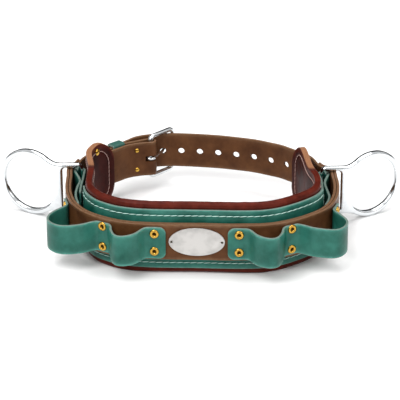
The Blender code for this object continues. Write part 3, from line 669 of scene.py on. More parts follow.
def full_grain(name, deep, middle, rub_highlight_tone, pebble, roughness, shine):
    """Vegetable-tanned leather: cloudy dye, a fine pebbled grain, and polished edges whose paler tone is
    partly rubbing and partly a painted highlight.
    """
    material, tree, shader, here = opened(name)
    clouds = clouded(tree, here, LEATHER_CLOUD, 5.0, 0.6)
    dye = ramp(tree, clouds, (0.32, deep), (0.66, middle))
    rub_and_highlight = node(tree, "Attribute", attribute_name="rub_and_highlight").outputs["Fac"]
    # the paler tone where the mask is high: rubbing, and partly a painted highlight
    rub_highlight_amount = worked_out(tree, "MULTIPLY", rub_and_highlight, clouded(tree, here, RUB_HIGHLIGHT_PATCH, 3.0))
    gloss = node(tree, "MapRange", {0: clouds, 3: roughness - 0.07, 4: roughness + 0.1}).outputs[0]
    cells = node(tree, "TexVoronoi", {"Vector": here, "Scale": per_mm(pebble)}, feature="SMOOTH_F1")
    grain = worked_out(tree, "ADD", cells.outputs["Distance"], clouded(tree, here, LEATHER_PORE, 4.0))
    set_shader(tree, shader, {"Base Color": blended(tree, rub_highlight_amount, dye, (*rub_highlight_tone, 1.0)),
                              "Roughness": worked_out(tree, "MULTIPLY_ADD", rub_and_highlight, -WORN_SMOOTHER, gloss),
                              "Normal": relief_of(tree, grain, 0.35, 0.15)},
               IOR=1.5, Specular_IOR_Level=shine)
    return material


def cut_edge(name, dark, light, dyed=None):
    """A cut and burnished leather edge: short fibres along it, and dye where the maker carried it on."""
    material, tree, shader, here = opened(name)
    spread = node(tree, "UVMap", uv_map="spread").outputs[0]
    drawn = node(tree, "Mapping", {"Vector": spread, "Scale": (1.0, FIBRE_DRAWN, 1.0)}).outputs[0]
    fibres = clouded(tree, drawn, FIBRE, 6.0)
    colour = ramp(tree, fibres, (0.3, dark), (0.7, light))
    if dyed:
        dye = node(tree, "Attribute", attribute_name="dye").outputs["Fac"]
        colour = blended(tree, dye, colour, (*dyed, 1.0))
    set_shader(tree, shader, {"Base Color": colour, "Normal": relief_of(tree, fibres, 0.5, 0.2)},
               Roughness=0.6, IOR=1.5, Specular_IOR_Level=0.25)
    return material


def thread(name, colour):
    """Waxed polyester thread: a matt, slightly furred cord with a fine twist."""
    material, tree, shader, here = opened(name)
    twist = clouded(tree, here, TWIST, 2.0)
    tone = ramp(tree, twist, (0.0, darker(colour, 0.72)), (0.6, colour))
    set_shader(tree, shader, {"Base Color": tone, "Normal": relief_of(tree, twist, 0.4, 0.2)},
               Roughness=0.7)
    return material


def bright_metal(name, colour, roughness, handling):
    """Polished or plated metal: a clean mirror broken by faint handling marks."""
    material, tree, shader, here = opened(name)
    marks = clouded(tree, here, HANDLING_MARK, 6.0, 0.7)
    tone = ramp(tree, marks, (0.3, darker(colour, 1 - handling)), (0.6, colour))
    gloss = node(tree, "MapRange", {0: marks, 3: roughness, 4: roughness + 0.1}).outputs[0]
    set_shader(tree, shader, {"Base Color": tone, "Roughness": gloss,
                              "Normal": relief_of(tree, marks, 0.12, 0.2)}, Metallic=1.0)
    return material


def brushed_metal(name, colour):
    """Rolled and brushed stainless plate: fine scratches along its length, and faint stains."""
    material, tree, shader, here = opened(name)
    drawn = node(tree, "Mapping", {"Vector": here, "Scale": (SCRATCH_DRAWN, 1.0, 1.0)}).outputs[0]
    scratches = clouded(tree, drawn, SCRATCH, 4.0)
    tone = ramp(tree, clouded(tree, here, PLATE_STAIN, 3.0), (0.35, darker(colour, 0.8)), (0.6, colour))
    set_shader(tree, shader, {"Base Color": tone, "Normal": relief_of(tree, scratches, 0.4, 0.15)},
               Metallic=1.0, Roughness=0.34)
    return material


def length_property(name, text, millimetres):
    return bpy.props.FloatProperty(name=name, description=text, default=millimetres * MM, unit="LENGTH",
                                   precision=5)


def colour_property(name, text, code):
    return bpy.props.FloatVectorProperty(name=name, description=text, default=linear(code), size=3,
                                         subtype="COLOR", min=0.0, max=1.0)


class LinemanBeltSizes(bpy.types.PropertyGroup):
    """Sizes that a user would change."""

    strap_width: length_property("Strap Width", "Height of the strap and of its facing", 44.45)
    strap_ply: length_property("Strap Ply", "Thickness of one ply of the strap", 3.3)
    thread: length_property("Thread", "Thickness of the stitching thread", THREAD)


class LinemanBeltColours(bpy.types.PropertyGroup):
    """Colours of the leathers, threads and metals."""

    green_deep: colour_property("Green, Deep", "Darkest dye of the green leather", "#00463a")
    green: colour_property("Green", "Main dye of the green leather", "#27685b")
    # the rubbed tones are paler leather at edges and rolls, partly rubbed and partly a painted highlight
    green_rub_highlight: colour_property("Green, Rubbed", "Green leather where it is rubbed", "#5c9f92")
    green_edge: colour_property("Green Edge", "Cut edge of the green leather", "#768b81")
    brown_deep: colour_property("Brown, Deep", "Darkest dye of the strap", "#43240f")
    brown: colour_property("Brown", "Main dye of the strap", "#5f3b20")
    brown_rub_highlight: colour_property("Brown, Rubbed", "Strap leather where it is rubbed", "#785b43")
    burgundy_deep: colour_property("Burgundy, Deep", "Darkest dye of the pad", "#1e0201")
    burgundy: colour_property("Burgundy", "Main dye of the pad", "#3f110a")
    burgundy_rub_highlight: colour_property("Burgundy, Rubbed", "Pad leather where it is rubbed", "#84382a")
    tan_edge: colour_property("Raw Edge", "Undyed cut edge of the pad's tongues", "#9f6e4d")
    face_thread: colour_property("Face Thread", "Thread on the green face", "#bfe3d9")
    tongue_thread: colour_property("Tongue Thread", "Thread on the tongues", "#b8958c")
    brass: colour_property("Brass", "Turned brass rivets", "#c89c44")
    plated: colour_property("Plating", "Bright plating of the rings and the buckle", "#e0e3e5")
    silver: colour_property("Name Plate", "Brushed steel of the bare plate", "#bfbcb9")


def sizes():
    return bpy.context.scene.lineman_belt_sizes


def colours():
    return bpy.context.scene.lineman_belt_colours


def once(name, make, *arguments):
    """The material of that name, made the first time that it is asked for."""
    return bpy.data.materials.get(name) or make(name, *arguments)


def green_leather():
    tones = colours()
    face = once("green_waxed_leather", full_grain, tones.green_deep, tones.green, tones.green_rub_highlight,
                *GREEN_GRAIN)
    edge = once("green_cut_edge", cut_edge, darker(tones.green_edge, 0.5), tones.green_edge)
    return [face, edge, face]


def brown_leather():
    tones = colours()
    face = once("brown_bridle_leather", full_grain, tones.brown_deep, tones.brown, tones.brown_rub_highlight,
                *BROWN_GRAIN)
    edge = once("brown_cut_edge", cut_edge, tones.brown, tones.brown_rub_highlight)
    return [face, edge, face]


def brass():
    tone = colours().brass
    # the second is the brass darkened to near black: painted shade for the depth of the rivets' and pins'
    # bores
    return [once("turned_brass", bright_metal, tone, *BRASS_FINISH),
            once("tarnished_brass_bore", bright_metal, darker(tone, 0.06), *BORE_FINISH)]


def plated_steel():
    return [once("bright_plated_steel", bright_metal, colours().plated, *PLATED_FINISH)]


def strap_ply():
    return sizes().strap_ply / MM


def strap_heights():
    half = sizes().strap_width / MM / 2
    return STRAP_MIDDLE - half, STRAP_MIDDLE + half


def strap_base(inner):
    """The outer face of the facing, on which the plate and the tool loops lie."""
    return inner.offset(facing_offset(strap_ply()) + strap_ply() / 2)


def pad_line():
    return PlanLine.through(mirrored(PAD_LEFT) + PAD_RIGHT)


def tongue_inset(line, distance, height):
    """How far a point of a tongue is inside its rounded outline."""
    along = min(distance, line.length - distance) - TONGUE_CORNER
    across = abs(height - PAD_HEIGHT / 2) - (PAD_HEIGHT / 2 - TONGUE_CORNER)
    outside = math.hypot(min(along, 0.0), max(across, 0.0))
    if along < 0 and across > 0:
        return TONGUE_CORNER - outside
    return min(along + TONGUE_CORNER, TONGUE_CORNER - across)


def stitch_dip(inset, row):
    """How deep the leather is drawn in at this inset from the edge."""
    return -STITCH_GROOVE * math.exp(-((inset - row) / STITCH_GROOVE_WIDTH) ** 2)


def pad_edge(roll, half, thin, flat):
    """The pad's upper edge as (out, rise): a round roll that turns into a cut edge as it gets flat."""
    crown = [math.radians(angle) for angle in np.linspace(-8, 188, RIM_POINTS)]
    rolled = [(roll * math.cos(angle), half - roll + roll * math.sin(angle)) for angle in crown]
    cut = [(out, half + above) for out, above in rim(TONGUE_HALF - thin, TONGUE_PLY_GROOVE)]
    return [(a[0] + (b[0] - a[0]) * flat, a[1] + (b[1] - a[1]) * flat) for a, b in zip(rolled, cut)]


def pad_faces(line, distance, neck, thin, flat, heights):
    """The pad's two broad faces between its edges, uneven and drawn in along the tongues' stitches."""
    outer, inner = [], []
    for z in heights:
        dip = flat * stitch_dip(tongue_inset(line, distance, z), TONGUE_STITCH_INSET)
        bend = sway(distance, z, 14, UNEVEN_SKIN)
        outer.append((neck - thin + dip + OUTER_SHARE * bend, z, SKIN_WEAR))
        inner.append((thin - neck - dip + bend, z, SKIN_WEAR))
    return outer, inner[::-1]


def pad_section(line):
    """Makes the function of the pad's ring: a neck between two rolls, or a flat two-ply tongue."""

    def section(distance):
        middle = line.at(distance)
        flat = smooth_step(middle.y, ROLL_END_Y, TONGUE_START_Y)
        roll = PAD_ROLL + (TONGUE_HALF - PAD_ROLL) * flat
        neck = PAD_NECK + (TONGUE_HALF - PAD_NECK) * flat
        ends = min(distance, line.length - distance)
        half = PAD_HEIGHT / 2 - corner_trim(ends, TONGUE_CORNER)
        thin = corner_trim(ends, EASED_EDGE)
        reach = min(abs(middle.x) / PAD_SCALLOP_REACH, 1.0)
        lift = PAD_SCALLOP * math.cos(math.pi / 2 * reach) * (middle.y < 0)
        neck_top = half - NECK_IN_ROLLS * roll
        heights = [PAD_HEIGHT / 2 + rise + lift * (0.5 - rise / (2 * neck_top))
                   for rise in np.linspace(-neck_top, neck_top, PAD_ROWS)]
        outer, inner = pad_faces(line, distance, neck, thin, flat, heights)
        edge = pad_edge(roll, half, thin, flat)
        wrinkle = [sway(distance, 5 * out, 9, WRINKLE) * (1 - flat) for out, _ in edge]
        # the rolls get the paler rubbed tone, partly as a painted highlight
        upper = [(out + w * OUTER_SHARE, PAD_HEIGHT / 2 + rise + w, ROLL_RUB_AND_HIGHLIGHT)
                 for (out, rise), w in zip(edge, wrinkle)]
        lower = [(-out, PAD_HEIGHT / 2 + lift - rise, ROLL_RUB_AND_HIGHLIGHT) for out, rise in edge]
        return outer + upper + inner + lower

    return section


def paint_dye(piece):
    """Marks how far the burgundy dye was carried onto the raw edge."""
    layer = piece.data.attributes.new("dye", "FLOAT", "POINT")
    shift = PLAN_SHIFT[1]
    amounts = [1 - smooth_step(vert.co.y / MM - shift, TONGUE_DYE_FROM_Y, TONGUE_DYE_TO_Y)
               for vert in piece.data.vertices]
    layer.data.foreach_set("value", amounts)


class LinemanPad(bpy.types.Operator):
    """Builds the padded burgundy body with its rolled edges and flat tongues"""

    bl_idname = "lineman.pad"
    bl_label = "Pad"

    def execute(self, context):
        line = pad_line()
        tones = colours()
        slots = band_slots(PAD_ROWS)

        def slot_of(distance, column):
            raw = line.at(distance).y > TONGUE_RAW_FROM_Y
            return 1 if slots[column] == 1 and raw else 0

        spots = line.rows(LENGTH_STEP, (TONGUE_CORNER, TONGUE_CORNER))
        pad = tube("padded_body", line, spots, pad_section(line), slot_of)
        paint_dye(pad)
        face = once("burgundy_oiled_leather", full_grain, tones.burgundy_deep, tones.burgundy,
                    tones.burgundy_rub_highlight, *BURGUNDY_GRAIN)
        edge = once("tan_raw_edge", cut_edge, darker(tones.tan_edge, 0.6), tones.tan_edge,
                    tones.burgundy)
        hand_over(pad, [face, edge], "belt", ["body_pad"])
        return {"FINISHED"}


def face_line():
    line = pad_line().offset(FACE_OFFSET)
    return line.between(line.nearest((-FACE_END_X, FACE_END_Y)), line.nearest((FACE_END_X, FACE_END_Y)))


def face_inset(line, distance, height):
    """How far a point of the face ply is inside its rounded outline."""
    along = min(distance, line.length - distance) - FACE_CORNER
    across = max(height - FACE_HIGH, FACE_LOW - height) + FACE_CORNER
    if along < 0 and across > 0:
        return FACE_CORNER - math.hypot(along, across)
    return min(along, -across) + FACE_CORNER


class LinemanFace(bpy.types.Operator):
    """Builds the green ply stitched on the pad's outside"""

    bl_idname = "lineman.face"
    bl_label = "Green Face"

    def execute(self, context):
        line = face_line()
        face = leather_band("green_face", line, FACE_PLY, FACE_LOW, FACE_HIGH, (FACE_CORNER, FACE_CORNER),
                            rows=64, groove=0.0,
                            relief=lambda s, z: stitch_dip(face_inset(line, s, z), FACE_STITCH_INSET))
        hand_over(face, green_leather(), "belt", ["pad_face"])
        return {"FINISHED"}


def billet_hole_cutters(line):
    """Round punches through the billet, one for each hole, as one hidden shape."""
    prong = line.nearest(PRONG_HOLE)
    body = bmesh.new()
    for number in range(BILLET_FREE_HOLES + 1):
        distance = prong - number * BILLET_HOLE_PITCH
        place = Matrix.Translation(in_frame((*line.at(distance), STRAP_MIDDLE - BILLET_HOLE_DROP)))
        bmesh.ops.create_cone(body, cap_ends=True, segments=32, radius1=BILLET_HOLE / 2 * MM,
                              radius2=BILLET_HOLE / 2 * MM, depth=4 * strap_ply() * MM,
                              matrix=place @ turned_to(line.outward(distance)))
    return body


def fold_slot_cutter(body):
    """The slot in the fold that the prong's curl turns in."""
    reach = FOLD_RADIUS + strap_ply()
    heading = math.radians((FOLD_FROM + FOLD_TO) / 2)
    middle = HEEL_BAR + Vector((math.cos(heading), math.sin(heading))) * (reach - FOLD_SLOT_BACK) / 2
    size = Matrix.Diagonal((FOLD_SLOT_BACK + reach, 2 * reach, FOLD_SLOT_HEIGHT, 1000)) * MM
    place = Matrix.Translation(in_frame((*middle, STRAP_MIDDLE)))
    bmesh.ops.create_cube(body, size=1.0, matrix=place @ Matrix.Rotation(heading, 4, "Z") @ size)
    return body


def punch(piece, body):
    """Takes a bmesh's volume out of a piece and applies the cut."""
    tool = finished("punch", body)
    cut = piece.modifiers.new("punch", "BOOLEAN")
    cut.object = tool
    cut.solver = "EXACT"
    graph = bpy.context.evaluated_depsgraph_get()
    mesh = bpy.data.meshes.new_from_object(piece.evaluated_get(graph))
    piece.modifiers.clear()
    spent = piece.data
    piece.data = mesh
    bpy.data.meshes.remove(spent)
    bpy.data.objects.remove(tool)


class LinemanStrap(bpy.types.Operator):
    """Builds the brown strap with its punched billet, and the second ply on its front"""

    bl_idname = "lineman.strap"
    bl_label = "Strap"

    def execute(self, context):
        inner = strap_inner_line(strap_ply())
        line = strap_line(inner, strap_ply())
        low, high = strap_heights()
        strap = leather_band("brown_strap", line, strap_ply(), low, high, (0.0, BILLET_TIP_ROUND),
                             step=2.5, groove=0.0)
        punch(strap, fold_slot_cutter(billet_hole_cutters(line)))
        smooth(strap)
        even_shading(strap)
        hand_over(strap, brown_leather(), "belt", ["waist_strap"])
        reach = inner.between(inner.nearest(FACING_LEFT_END), inner.nearest(FACING_RIGHT_END))
        facing = leather_band("brown_strap_front", reach.offset(facing_offset(strap_ply())), strap_ply(),
                              low, high, groove=0.0)
        hand_over(facing, brown_leather(), "belt", ["strap_facing"])
        return {"FINISHED"}


class LinemanToolLoops(bpy.types.Operator):
    """Builds the two green strips that bulge in a small and a large loop each"""

    bl_idname = "lineman.tool_loops"
    bl_label = "Tool Loops"

    def execute(self, context):
        base = strap_base(strap_inner_line(strap_ply()))
        shape = PlanLine.through(LOOP_LINE, step=1.0).points
        columns = list(zip(*LOOP_HALF_WIDTHS))
        for side, word in SIDES:
            line = PlanLine([loop_point(base, side, along, max(rise, 0.0) + LOOP_REST)
                             for along, rise in shape])
            loop = leather_band("tool_loop_band_" + word, line, LOOP_PLY,
                                lambda s: LOOP_MIDDLE - np.interp(s, *columns),
                                lambda s: LOOP_MIDDLE + np.interp(s, *columns),
                                (LOOP_CORNER, LOOP_OUTER_CORNER), step=2.0)
            hand_over(loop, green_leather(), "belt", ["tool_loop_" + word])
        return {"FINISHED"}


class LinemanRingWraps(bpy.types.Operator):
    """Builds the green strips doubled round the rings' bars"""

    bl_idname = "lineman.ring_wraps"
    bl_label = "Ring Wraps"

    def execute(self, context):
        turn = arc(RING_BAR, RING_BAR_WIDTH / 2 + WRAP_CLEAR + WRAP_PLY / 2, WRAP_FROM, WRAP_TO, 10)
        for side, word in SIDES:
            knots = [(side * x, y) for x, y in WRAP_OUTER_TAIL[word] + turn + WRAP_INNER_TAIL[word]]
            wrap = leather_band("ring_wrap_band_" + word, PlanLine.through(knots), WRAP_PLY, WRAP_LOW,
                                WRAP_HIGH, (WRAP_CORNER, WRAP_CORNER), step=1.5)
            hand_over(wrap, green_leather(), "belt", ["ring_wrap_" + word])
        return {"FINISHED"}


def ring_outlines():
    """The flat ring seen square on, u outward from its bar and v up: its edge, its slot and its eye."""
    half = RING_SLOT_HEIGHT / 2 + RING_ARM
    outer = RING_EYE_RADIUS + RING_STOCK
    fillet_v = half + RING_FILLET
    fillet_u = RING_EYE_CENTRE - math.sqrt((outer + RING_FILLET) ** 2 - fillet_v**2)
    touch = math.degrees(math.atan2(fillet_v, fillet_u - RING_EYE_CENTRE))
    corner = (RING_HEEL_CORNER - RING_BAR_WIDTH / 2, half - RING_HEEL_CORNER)
    upper = arc((RING_EYE_CENTRE, 0), outer, 0, touch, 44)
    upper += arc((fillet_u, fillet_v), RING_FILLET, touch - 180, -90, 12)[1:]
    upper += arc(corner, RING_HEEL_CORNER, 90, 180, 12)
    lower = [(u, -v) for u, v in upper[:0:-1]]
    slot = rounded_box((RING_BAR_WIDTH / 2, -RING_SLOT_HEIGHT / 2), (RING_SLOT_TO, RING_SLOT_HEIGHT / 2),
                       RING_SLOT_CORNER)
    eye = arc((RING_EYE_CENTRE, 0), RING_EYE_RADIUS, 0, 360, 97)[:-1]
    return [upper + lower, slot, eye]


def crank(u, depth):
    """Bends a point of the flat ring backwards past the slot."""
    span = RING_CRANK_TO - RING_CRANK_FROM
    radius = span / math.radians(RING_CRANK)
    angle = min(max(u - RING_CRANK_FROM, 0.0), span) / radius
    past = max(u - RING_CRANK_TO, 0.0)
    before = min(u, RING_CRANK_FROM)
    return (before + (radius - depth) * math.sin(angle) + past * math.cos(angle),
            radius - (radius - depth) * math.cos(angle) + past * math.sin(angle))


class LinemanRings(bpy.types.Operator):
    """Builds the two cranked D-rings of plated steel"""

    bl_idname = "lineman.rings"
    bl_label = "D-Rings"

    def execute(self, context):
        for side, word in SIDES:
            body = body_of_curve(flat_curve("ring", ring_outlines(), RING_THICKNESS, RING_EDGE))
            for u in np.linspace(RING_CRANK_FROM, RING_CRANK_TO, RING_CRANK_CUTS):
                everything = body.verts[:] + body.edges[:] + body.faces[:]
                bmesh.ops.bisect_plane(body, geom=everything, plane_co=(u * MM, 0, 0), plane_no=(1, 0, 0))
            for vert in body.verts:
                u, v, depth = vert.co / MM
                out, back = crank(u, depth)
                vert.co = Vector((side * out, back, v)) * MM
            set_down(body, (side * RING_BAR.x, RING_BAR.y, RING_MIDDLE_HEIGHT),
                     Matrix.Rotation(side * math.radians(RING_YAW[word]), 4, "Z"))
            ring = finished("d_ring_forging_" + word, body)
            smooth(ring, sharp=35)
            even_shading(ring)
            hand_over(ring, plated_steel(), word + "_ring", ["d_ring_" + word])
        return {"FINISHED"}


class LinemanBuckle(bpy.types.Operator):
    """Builds the wire buckle with its curled prong"""

    bl_idname = "lineman.buckle"
    bl_label = "Buckle"

    def execute(self, context):
        across = END_BAR - HEEL_BAR
        outline = rounded_box((0, -FRAME_HEIGHT / 2), (across.length, FRAME_HEIGHT / 2), FRAME_CORNER)
        heading = across.normalized()
        points = [(*(HEEL_BAR + heading * out), STRAP_MIDDLE + rise) for out, rise in outline]
        buckle = finished("buckle_wire_frame", body_of_curve(wire_curve("wire", points, FRAME_WIRE, True)))
        smooth(buckle)
        hand_over(buckle, plated_steel(), "belt", ["buckle_frame"])
        curl = arc(HEEL_BAR, PRONG_CURL, PRONG_CURL_FROM, PRONG_CURL_TO, 24)
        line = PlanLine.through(curl + PRONG_SHANK)
        points = [(*line.at(s), PRONG_MIDDLE) for s in np.linspace(0, line.length, 60)]
        prong = finished("buckle_wire_prong", body_of_curve(wire_curve("wire", points, PRONG_WIRE)))
        smooth(prong)
        hand_over(prong, plated_steel(), "belt", ["buckle_prong"])
        return {"FINISHED"}


def keeper_outlines():
    """The keeper seen along the strap: its rim and its opening, arched on the outside."""
    low, high = (strap_heights()[0] - KEEPER_GAP, strap_heights()[1] + KEEPER_GAP)
    inner = strap_ply() + KEEPER_GAP + KEEPER_WALL
    outer = fold_rise(strap_ply()) + GAP + strap_ply() + KEEPER_GAP
    steps = [(step / 12, KEEPER_ARCH * math.sin(math.pi * step / 12)) for step in range(1, 12)]
    hole = [(inner, high), (inner, low), (outer, low)]
    hole += [(outer + rise, low + (high - low) * share) for share, rise in steps]
    hole.append((outer, high))
    rim_line = arc((inner, high), KEEPER_WALL, 90, 180, 5)
    rim_line += arc((inner, low), KEEPER_WALL, 180, 270, 5)
    rim_line += arc((outer, low), KEEPER_WALL, 270, 360, 5)
    rim_line += [(outer + KEEPER_WALL + rise, low + (high - low) * share) for share, rise in steps]
    rim_line += arc((outer, high), KEEPER_WALL, 0, 90, 5)
    return [rim_line, hole]


class LinemanKeeper(bpy.types.Operator):
    """Builds the dark green keeper round the folded end and the billet"""

    bl_idname = "lineman.keeper"
    bl_label = "Keeper"

    def execute(self, context):
        tones = colours()
        body = body_of_curve(flat_curve("keeper", keeper_outlines(), KEEPER_LENGTH, KEEPER_EDGE, 2))
        lift = Matrix(((0, 0, 1, 0), (1, 0, 0, 0), (0, 1, 0, 0), (0, 0, 0, 1)))  # its length along X
        for face in body.faces:
            face.material_index = 1 if abs(face.normal.z) > 0.6 else 0
        rub_and_highlight = body.verts.layers.float.new("rub_and_highlight")
        end = KEEPER_LENGTH / 2
        for vert in body.verts:
            vert[rub_and_highlight] = KEEPER_WEAR * smooth_step(abs(vert.co.z) / MM, end - KEEPER_WEAR_REACH, end)
        set_down(body, (*KEEPER_FOOT, 0.0), Matrix.Rotation(KEEPER_HEADING, 4, "Z") @ lift)
        keeper = finished("keeper_band", body)
        keeper.data.uv_layers.new(name="spread")
        smooth(keeper)
        even_shading(keeper)
        face = once("dark_green_leather", full_grain, darker(tones.green_deep, 0.45), tones.green_deep,
                    tones.green_edge, *KEEPER_GRAIN)
        hand_over(keeper, [face, green_leather()[1]], "belt", ["keeper"])
        return {"FINISHED"}


def oval_plate():
    """The plate lying flat, in metres: a raised rim round a slightly lower panel."""
    body = bmesh.new()
    bmesh.ops.create_circle(body, cap_ends=True, segments=96, radius=1.0)
    bmesh.ops.scale(body, vec=(PLATE_LENGTH / 2, PLATE_HEIGHT / 2, 1.0), verts=body.verts)
    grown = bmesh.ops.extrude_face_region(body, geom=body.faces[:])["geom"]
    front = [face for face in grown if isinstance(face, bmesh.types.BMFace)]
    bmesh.ops.translate(body, vec=(0, 0, PLATE_THICKNESS), verts=front[0].verts)
    bmesh.ops.bevel(body, geom=front[0].edges[:], offset=PLATE_EDGE, segments=3, profile=0.5,
                    affect="EDGES", material=-1)
    body.faces.ensure_lookup_table()
    panel = [max(body.faces, key=lambda face: face.calc_center_median().z + face.calc_area())]
    bmesh.ops.inset_region(body, faces=panel, thickness=PLATE_RIM)
    bmesh.ops.inset_region(body, faces=panel, thickness=PLATE_RIM_SLOPE, depth=-PLATE_RIM_RISE)
    bmesh.ops.scale(body, vec=(MM, MM, MM), verts=body.verts)
    return body


class LinemanPlate(bpy.types.Operator):
    """Builds the bare oval plate and its two pins"""

    bl_idname = "lineman.plate"
    bl_label = "Name Plate"

    def execute(self, context):
        base = strap_base(strap_inner_line(strap_ply()))
        reach = np.linspace(-PLATE_LENGTH / 2, PLATE_LENGTH / 2, 41)
        back = min(base.at(front_of(base) + along).y for along in reach) - GAP
        body = oval_plate()
        set_down(body, (0, back, PLATE_MIDDLE_HEIGHT), Matrix.Rotation(math.pi / 2, 4, "X"))
        plate = finished("bare_oval_plate", body)
        smooth(plate, sharp=30)
        metal = [once("brushed_steel_plate", brushed_metal, colours().silver)]
        hand_over(plate, metal, "belt", ["name_plate"])
        for side, word in SIDES:
            spot = (side * PLATE_PIN_X, back - PLATE_THICKNESS, PLATE_MIDDLE_HEIGHT)
            pin = turned("plate_pin_head_" + word, PLATE_PIN, spot, (0, -1, 0), PIN_BORE)
            # the pin's hollow gets the near-black painted shade of the brass bore
            hand_over(pin, metal + brass()[1:], "belt", ["plate_pin_" + word])
        return {"FINISHED"}


def loop_rivets(base):
    """The pairs of tubular rivets through each tool strip."""
    standoff = LOOP_REST + LOOP_PLY / 2
    for side, word in SIDES:
        for where, along, half_pitch, middle in LOOP_RIVETS:
            place = loop_point(base, side, along, standoff)
            facing = loop_point(base, side, along, standoff + 1) - place
            for height, level in ((middle + half_pitch, "upper"), (middle - half_pitch, "lower")):
                name = f"{word}_{where}_{level}"
                rivet = turned("tube_rivet_" + name, TUBE_RIVET, (*place, height), facing, TUBE_BORE)
                hand_over(rivet, brass(), "belt", ["loop_rivet_" + name])


def buckle_rivets(inner):
    """The pair of domed rivets inside the strap, by the buckle."""
    distance = inner.nearest(BUCKLE_RIVET_PLACE)
    for side, word in ((1, "upper"), (-1, "lower")):
        height = STRAP_MIDDLE + side * BUCKLE_RIVET_SPACING / 2
        rivet = turned("dome_rivet_" + word, DOME_RIVET, (*inner.at(distance), height),
                       -inner.outward(distance))
        hand_over(rivet, brass(), "belt", ["buckle_rivet_" + word])


def tongue_rivet(line):
    """The large domed rivet inside the left tongue."""
    distance = min((s for s in line.along if line.at(s).x < 0),
                   key=lambda s: abs(line.at(s).y - TONGUE_RIVET_Y))
    inward = -line.outward(distance)
    place = (*(line.at(distance) + inward * (TONGUE_HALF + GAP)), TONGUE_RIVET_HEIGHT)
    rivet = turned("tongue_rivet_head", TONGUE_RIVET, place, inward)
    hand_over(rivet, brass(), "belt", ["tongue_rivet"])


class LinemanRivets(bpy.types.Operator):
    """Builds the brass rivets of the loops, the buckle end and the left tongue"""

    bl_idname = "lineman.rivets"
    bl_label = "Rivets"

    def execute(self, context):
        inner = strap_inner_line(strap_ply())
        loop_rivets(strap_base(inner))
        buckle_rivets(inner)
        tongue_rivet(pad_line())
        return {"FINISHED"}


def stitch_run(name, line, path, pitch, length, standoff, material):
    """Saddle stitches along a path of (distance, height) on a band, each a short slanted strand."""
    whole = PlanLine(path)
    count = round(whole.length / pitch)
    body = bmesh.new()
    half = sizes().thread / 2
    for number in range(count):
        here = whole.at((number + 0.5) * whole.length / count)
        run = whole.heading((number + 0.5) * whole.length / count, reach=pitch / 2)
        outward = line.outward(here.x).to_3d()
        along = line.heading(here.x).to_3d()
        lay = (along * run.x + Vector((0, 0, 1)) * run.y).normalized()
        lay = Matrix.Rotation(STITCH_SLANT, 3, outward) @ lay
        cross = outward.cross(lay)
        place = in_frame((*(line.at(here.x) + line.outward(here.x) * standoff), here.y))
        sized = Matrix((lay * length / 2 * MM, cross * half, outward * half * math.copysign(1, standoff)))
        matrix = Matrix.Translation(place) @ sized.transposed().to_4x4()
        bmesh.ops.create_uvsphere(body, u_segments=8, v_segments=6, radius=1.0,
                                  matrix=matrix @ Matrix.Rotation(math.pi / 2, 4, "Y"))
    piece = finished(name, body)
    smooth(piece, sharp=180)
    hand_over(piece, [material], "belt", [])


def tongue_path(line, side):
    """The U of stitches inside a tongue's edge, as (distance, height)."""
    inset, corner = TONGUE_STITCH_INSET, TONGUE_CORNER - TONGUE_STITCH_INSET
    start = max(s for s in line.along if s < line.length and line.at(s).y < TONGUE_STITCH_FROM_Y)
    end = line.length - inset
    low, high = inset, PAD_HEIGHT - inset
    path = [(start, high)] + arc((end - corner, high - corner), corner, 90, 0, 12)
    path += arc((end - corner, low + corner), corner, 0, -90, 12) + [(start, low)]
    return path if side > 0 else [(line.length - s, z) for s, z in path]


class LinemanStitching(bpy.types.Operator):
    """Sews the green face to the pad, and each tongue's two plies together"""

    bl_idname = "lineman.stitching"
    bl_label = "Stitching"

    def execute(self, context):
        line = face_line()
        pale = once("pale_waxed_thread", thread, colours().face_thread)
        rosy = once("rosy_waxed_thread", thread, colours().tongue_thread)
        inset = FACE_STITCH_INSET
        path = rounded_box((inset, FACE_LOW + inset), (line.length - inset, FACE_HIGH - inset),
                           FACE_CORNER - inset)
        stitch_run("face_stitching", line, path + path[:1], FACE_STITCH_PITCH, FACE_STITCH_LENGTH,
                   FACE_PLY / 2, pale)
        line = pad_line()
        for side, word in SIDES:
            for standoff, where in ((TONGUE_HALF, "outer"), (-TONGUE_HALF, "inner")):
                stitch_run(f"tongue_stitching_{word}_{where}", line, tongue_path(line, side),
                           TONGUE_STITCH_PITCH, TONGUE_STITCH_LENGTH, standoff, rosy)
        return {"FINISHED"}


def area_light(name, place, size, power):
    """A soft light aimed at the middle of the floor."""
    light = bpy.data.lights.new(name, "AREA")
    light.size = size
    light.energy = power
    holder = bpy.data.objects.new(name, light)
    holder.location = place
    holder.rotation_euler = (-Vector(place)).to_track_quat("-Z", "Y").to_euler()
    bpy.context.scene.collection.objects.link(holder)


def studio_world():
    """A white tent, dark behind the set and near the floor, which draws the metal's contours."""
    world = bpy.data.worlds.new("studio")
    world.use_nodes = True
    tree = world.node_tree
    where = node(tree, "TexCoord").outputs["Generated"]
    heading = node(tree, "SeparateXYZ", {"Vector": where}).outputs
    band = ramp(tree, heading["Z"], (0.0, (0.05, 0.05, 0.055)), (0.14, (0.08, 0.08, 0.085)),
                (0.24, (1.0, 1.0, 1.0)))
    wall = node(tree, "MapRange", {0: heading["Y"], 1: 0.3, 2: 0.55, 3: 1.0, 4: 0.06}).outputs[0]
    background = tree.nodes["Background"]
    set_shader(tree, background, {"Color": blended(tree, 1.0, band, wall, "MULTIPLY")}, Strength=0.8)
    bpy.context.scene.world = world


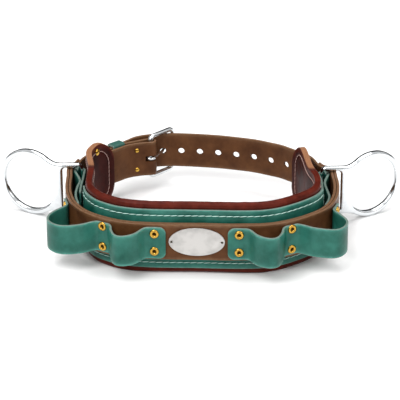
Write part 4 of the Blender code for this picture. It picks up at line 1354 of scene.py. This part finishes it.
def photo_camera():
    """The camera that was fitted to the photograph."""
    level = math.cos(CAMERA_ELEVATION)
    back = Vector((math.sin(CAMERA_AZIMUTH) * level, -math.cos(CAMERA_AZIMUTH) * level,
                   math.sin(CAMERA_ELEVATION)))
    camera = bpy.data.cameras.new("camera")
    camera.sensor_width = SENSOR
    camera.lens = FOCAL_PIXELS / PHOTO_PIXELS * SENSOR
    camera.clip_end = 50
    holder = bpy.data.objects.new("camera", camera)
    holder.location = CAMERA_TARGET + back * CAMERA_DISTANCE
    holder.rotation_euler = (-back).to_track_quat("-Z", "Y").to_euler()
    bpy.context.scene.collection.objects.link(holder)
    bpy.context.scene.camera = holder


def pale_floor():
    """A matt, nearly white sheet under the belt."""
    body = bmesh.new()
    bmesh.ops.create_grid(body, x_segments=2, y_segments=2, size=15.0)
    floor = finished("floor", body, recalculate=False)
    material, tree, shader, _ = opened("pale_floor")
    set_shader(tree, shader, {}, Base_Color=(0.93, 0.93, 0.93, 1.0), Roughness=0.9)
    floor.data.materials.append(material)


class LinemanStage(bpy.types.Operator):
    """Sets up the camera, the pale floor and the soft studio light"""

    bl_idname = "lineman.stage"
    bl_label = "Stage"

    def execute(self, context):
        photo_camera()
        pale_floor()
        studio_world()
        for light in LIGHTS:
            area_light(*light)
        context.scene.view_settings.view_transform = "Standard"
        return {"FINISHED"}


STEPS = (LinemanStage, LinemanPad, LinemanFace, LinemanStrap, LinemanToolLoops, LinemanRingWraps,
         LinemanRings, LinemanBuckle, LinemanKeeper, LinemanPlate, LinemanRivets, LinemanStitching)


class LinemanBeltPanel(bpy.types.Panel):
    """The belt's sizes, colours and building steps"""

    bl_idname = "VIEW3D_PT_lineman_belt"
    bl_label = "Lineman Belt"
    bl_space_type = "VIEW_3D"
    bl_region_type = "UI"
    bl_category = "Lineman Belt"

    def draw(self, context):
        for group in (context.scene.lineman_belt_sizes, context.scene.lineman_belt_colours):
            box = self.layout.box()
            for name in group.bl_rna.properties.keys():
                if name not in ("rna_type", "name"):
                    box.prop(group, name)
        for step in STEPS:
            self.layout.operator(step.bl_idname)


CLASSES = (LinemanBeltSizes, LinemanBeltColours, *STEPS, LinemanBeltPanel)


def register():
    for made in CLASSES:
        bpy.utils.register_class(made)
    bpy.types.Scene.lineman_belt_sizes = bpy.props.PointerProperty(type=LinemanBeltSizes)
    bpy.types.Scene.lineman_belt_colours = bpy.props.PointerProperty(type=LinemanBeltColours)


def unregister():
    del bpy.types.Scene.lineman_belt_colours
    del bpy.types.Scene.lineman_belt_sizes
    for made in reversed(CLASSES):
        bpy.utils.unregister_class(made)


def main():
    register()
    for step in STEPS:
        name = step.bl_idname.split(".")[1]
        if getattr(bpy.ops.lineman, name)() != {"FINISHED"}:
            raise RuntimeError(f"the step {name} didn't finish")


if __name__ == "__main__":
    main()
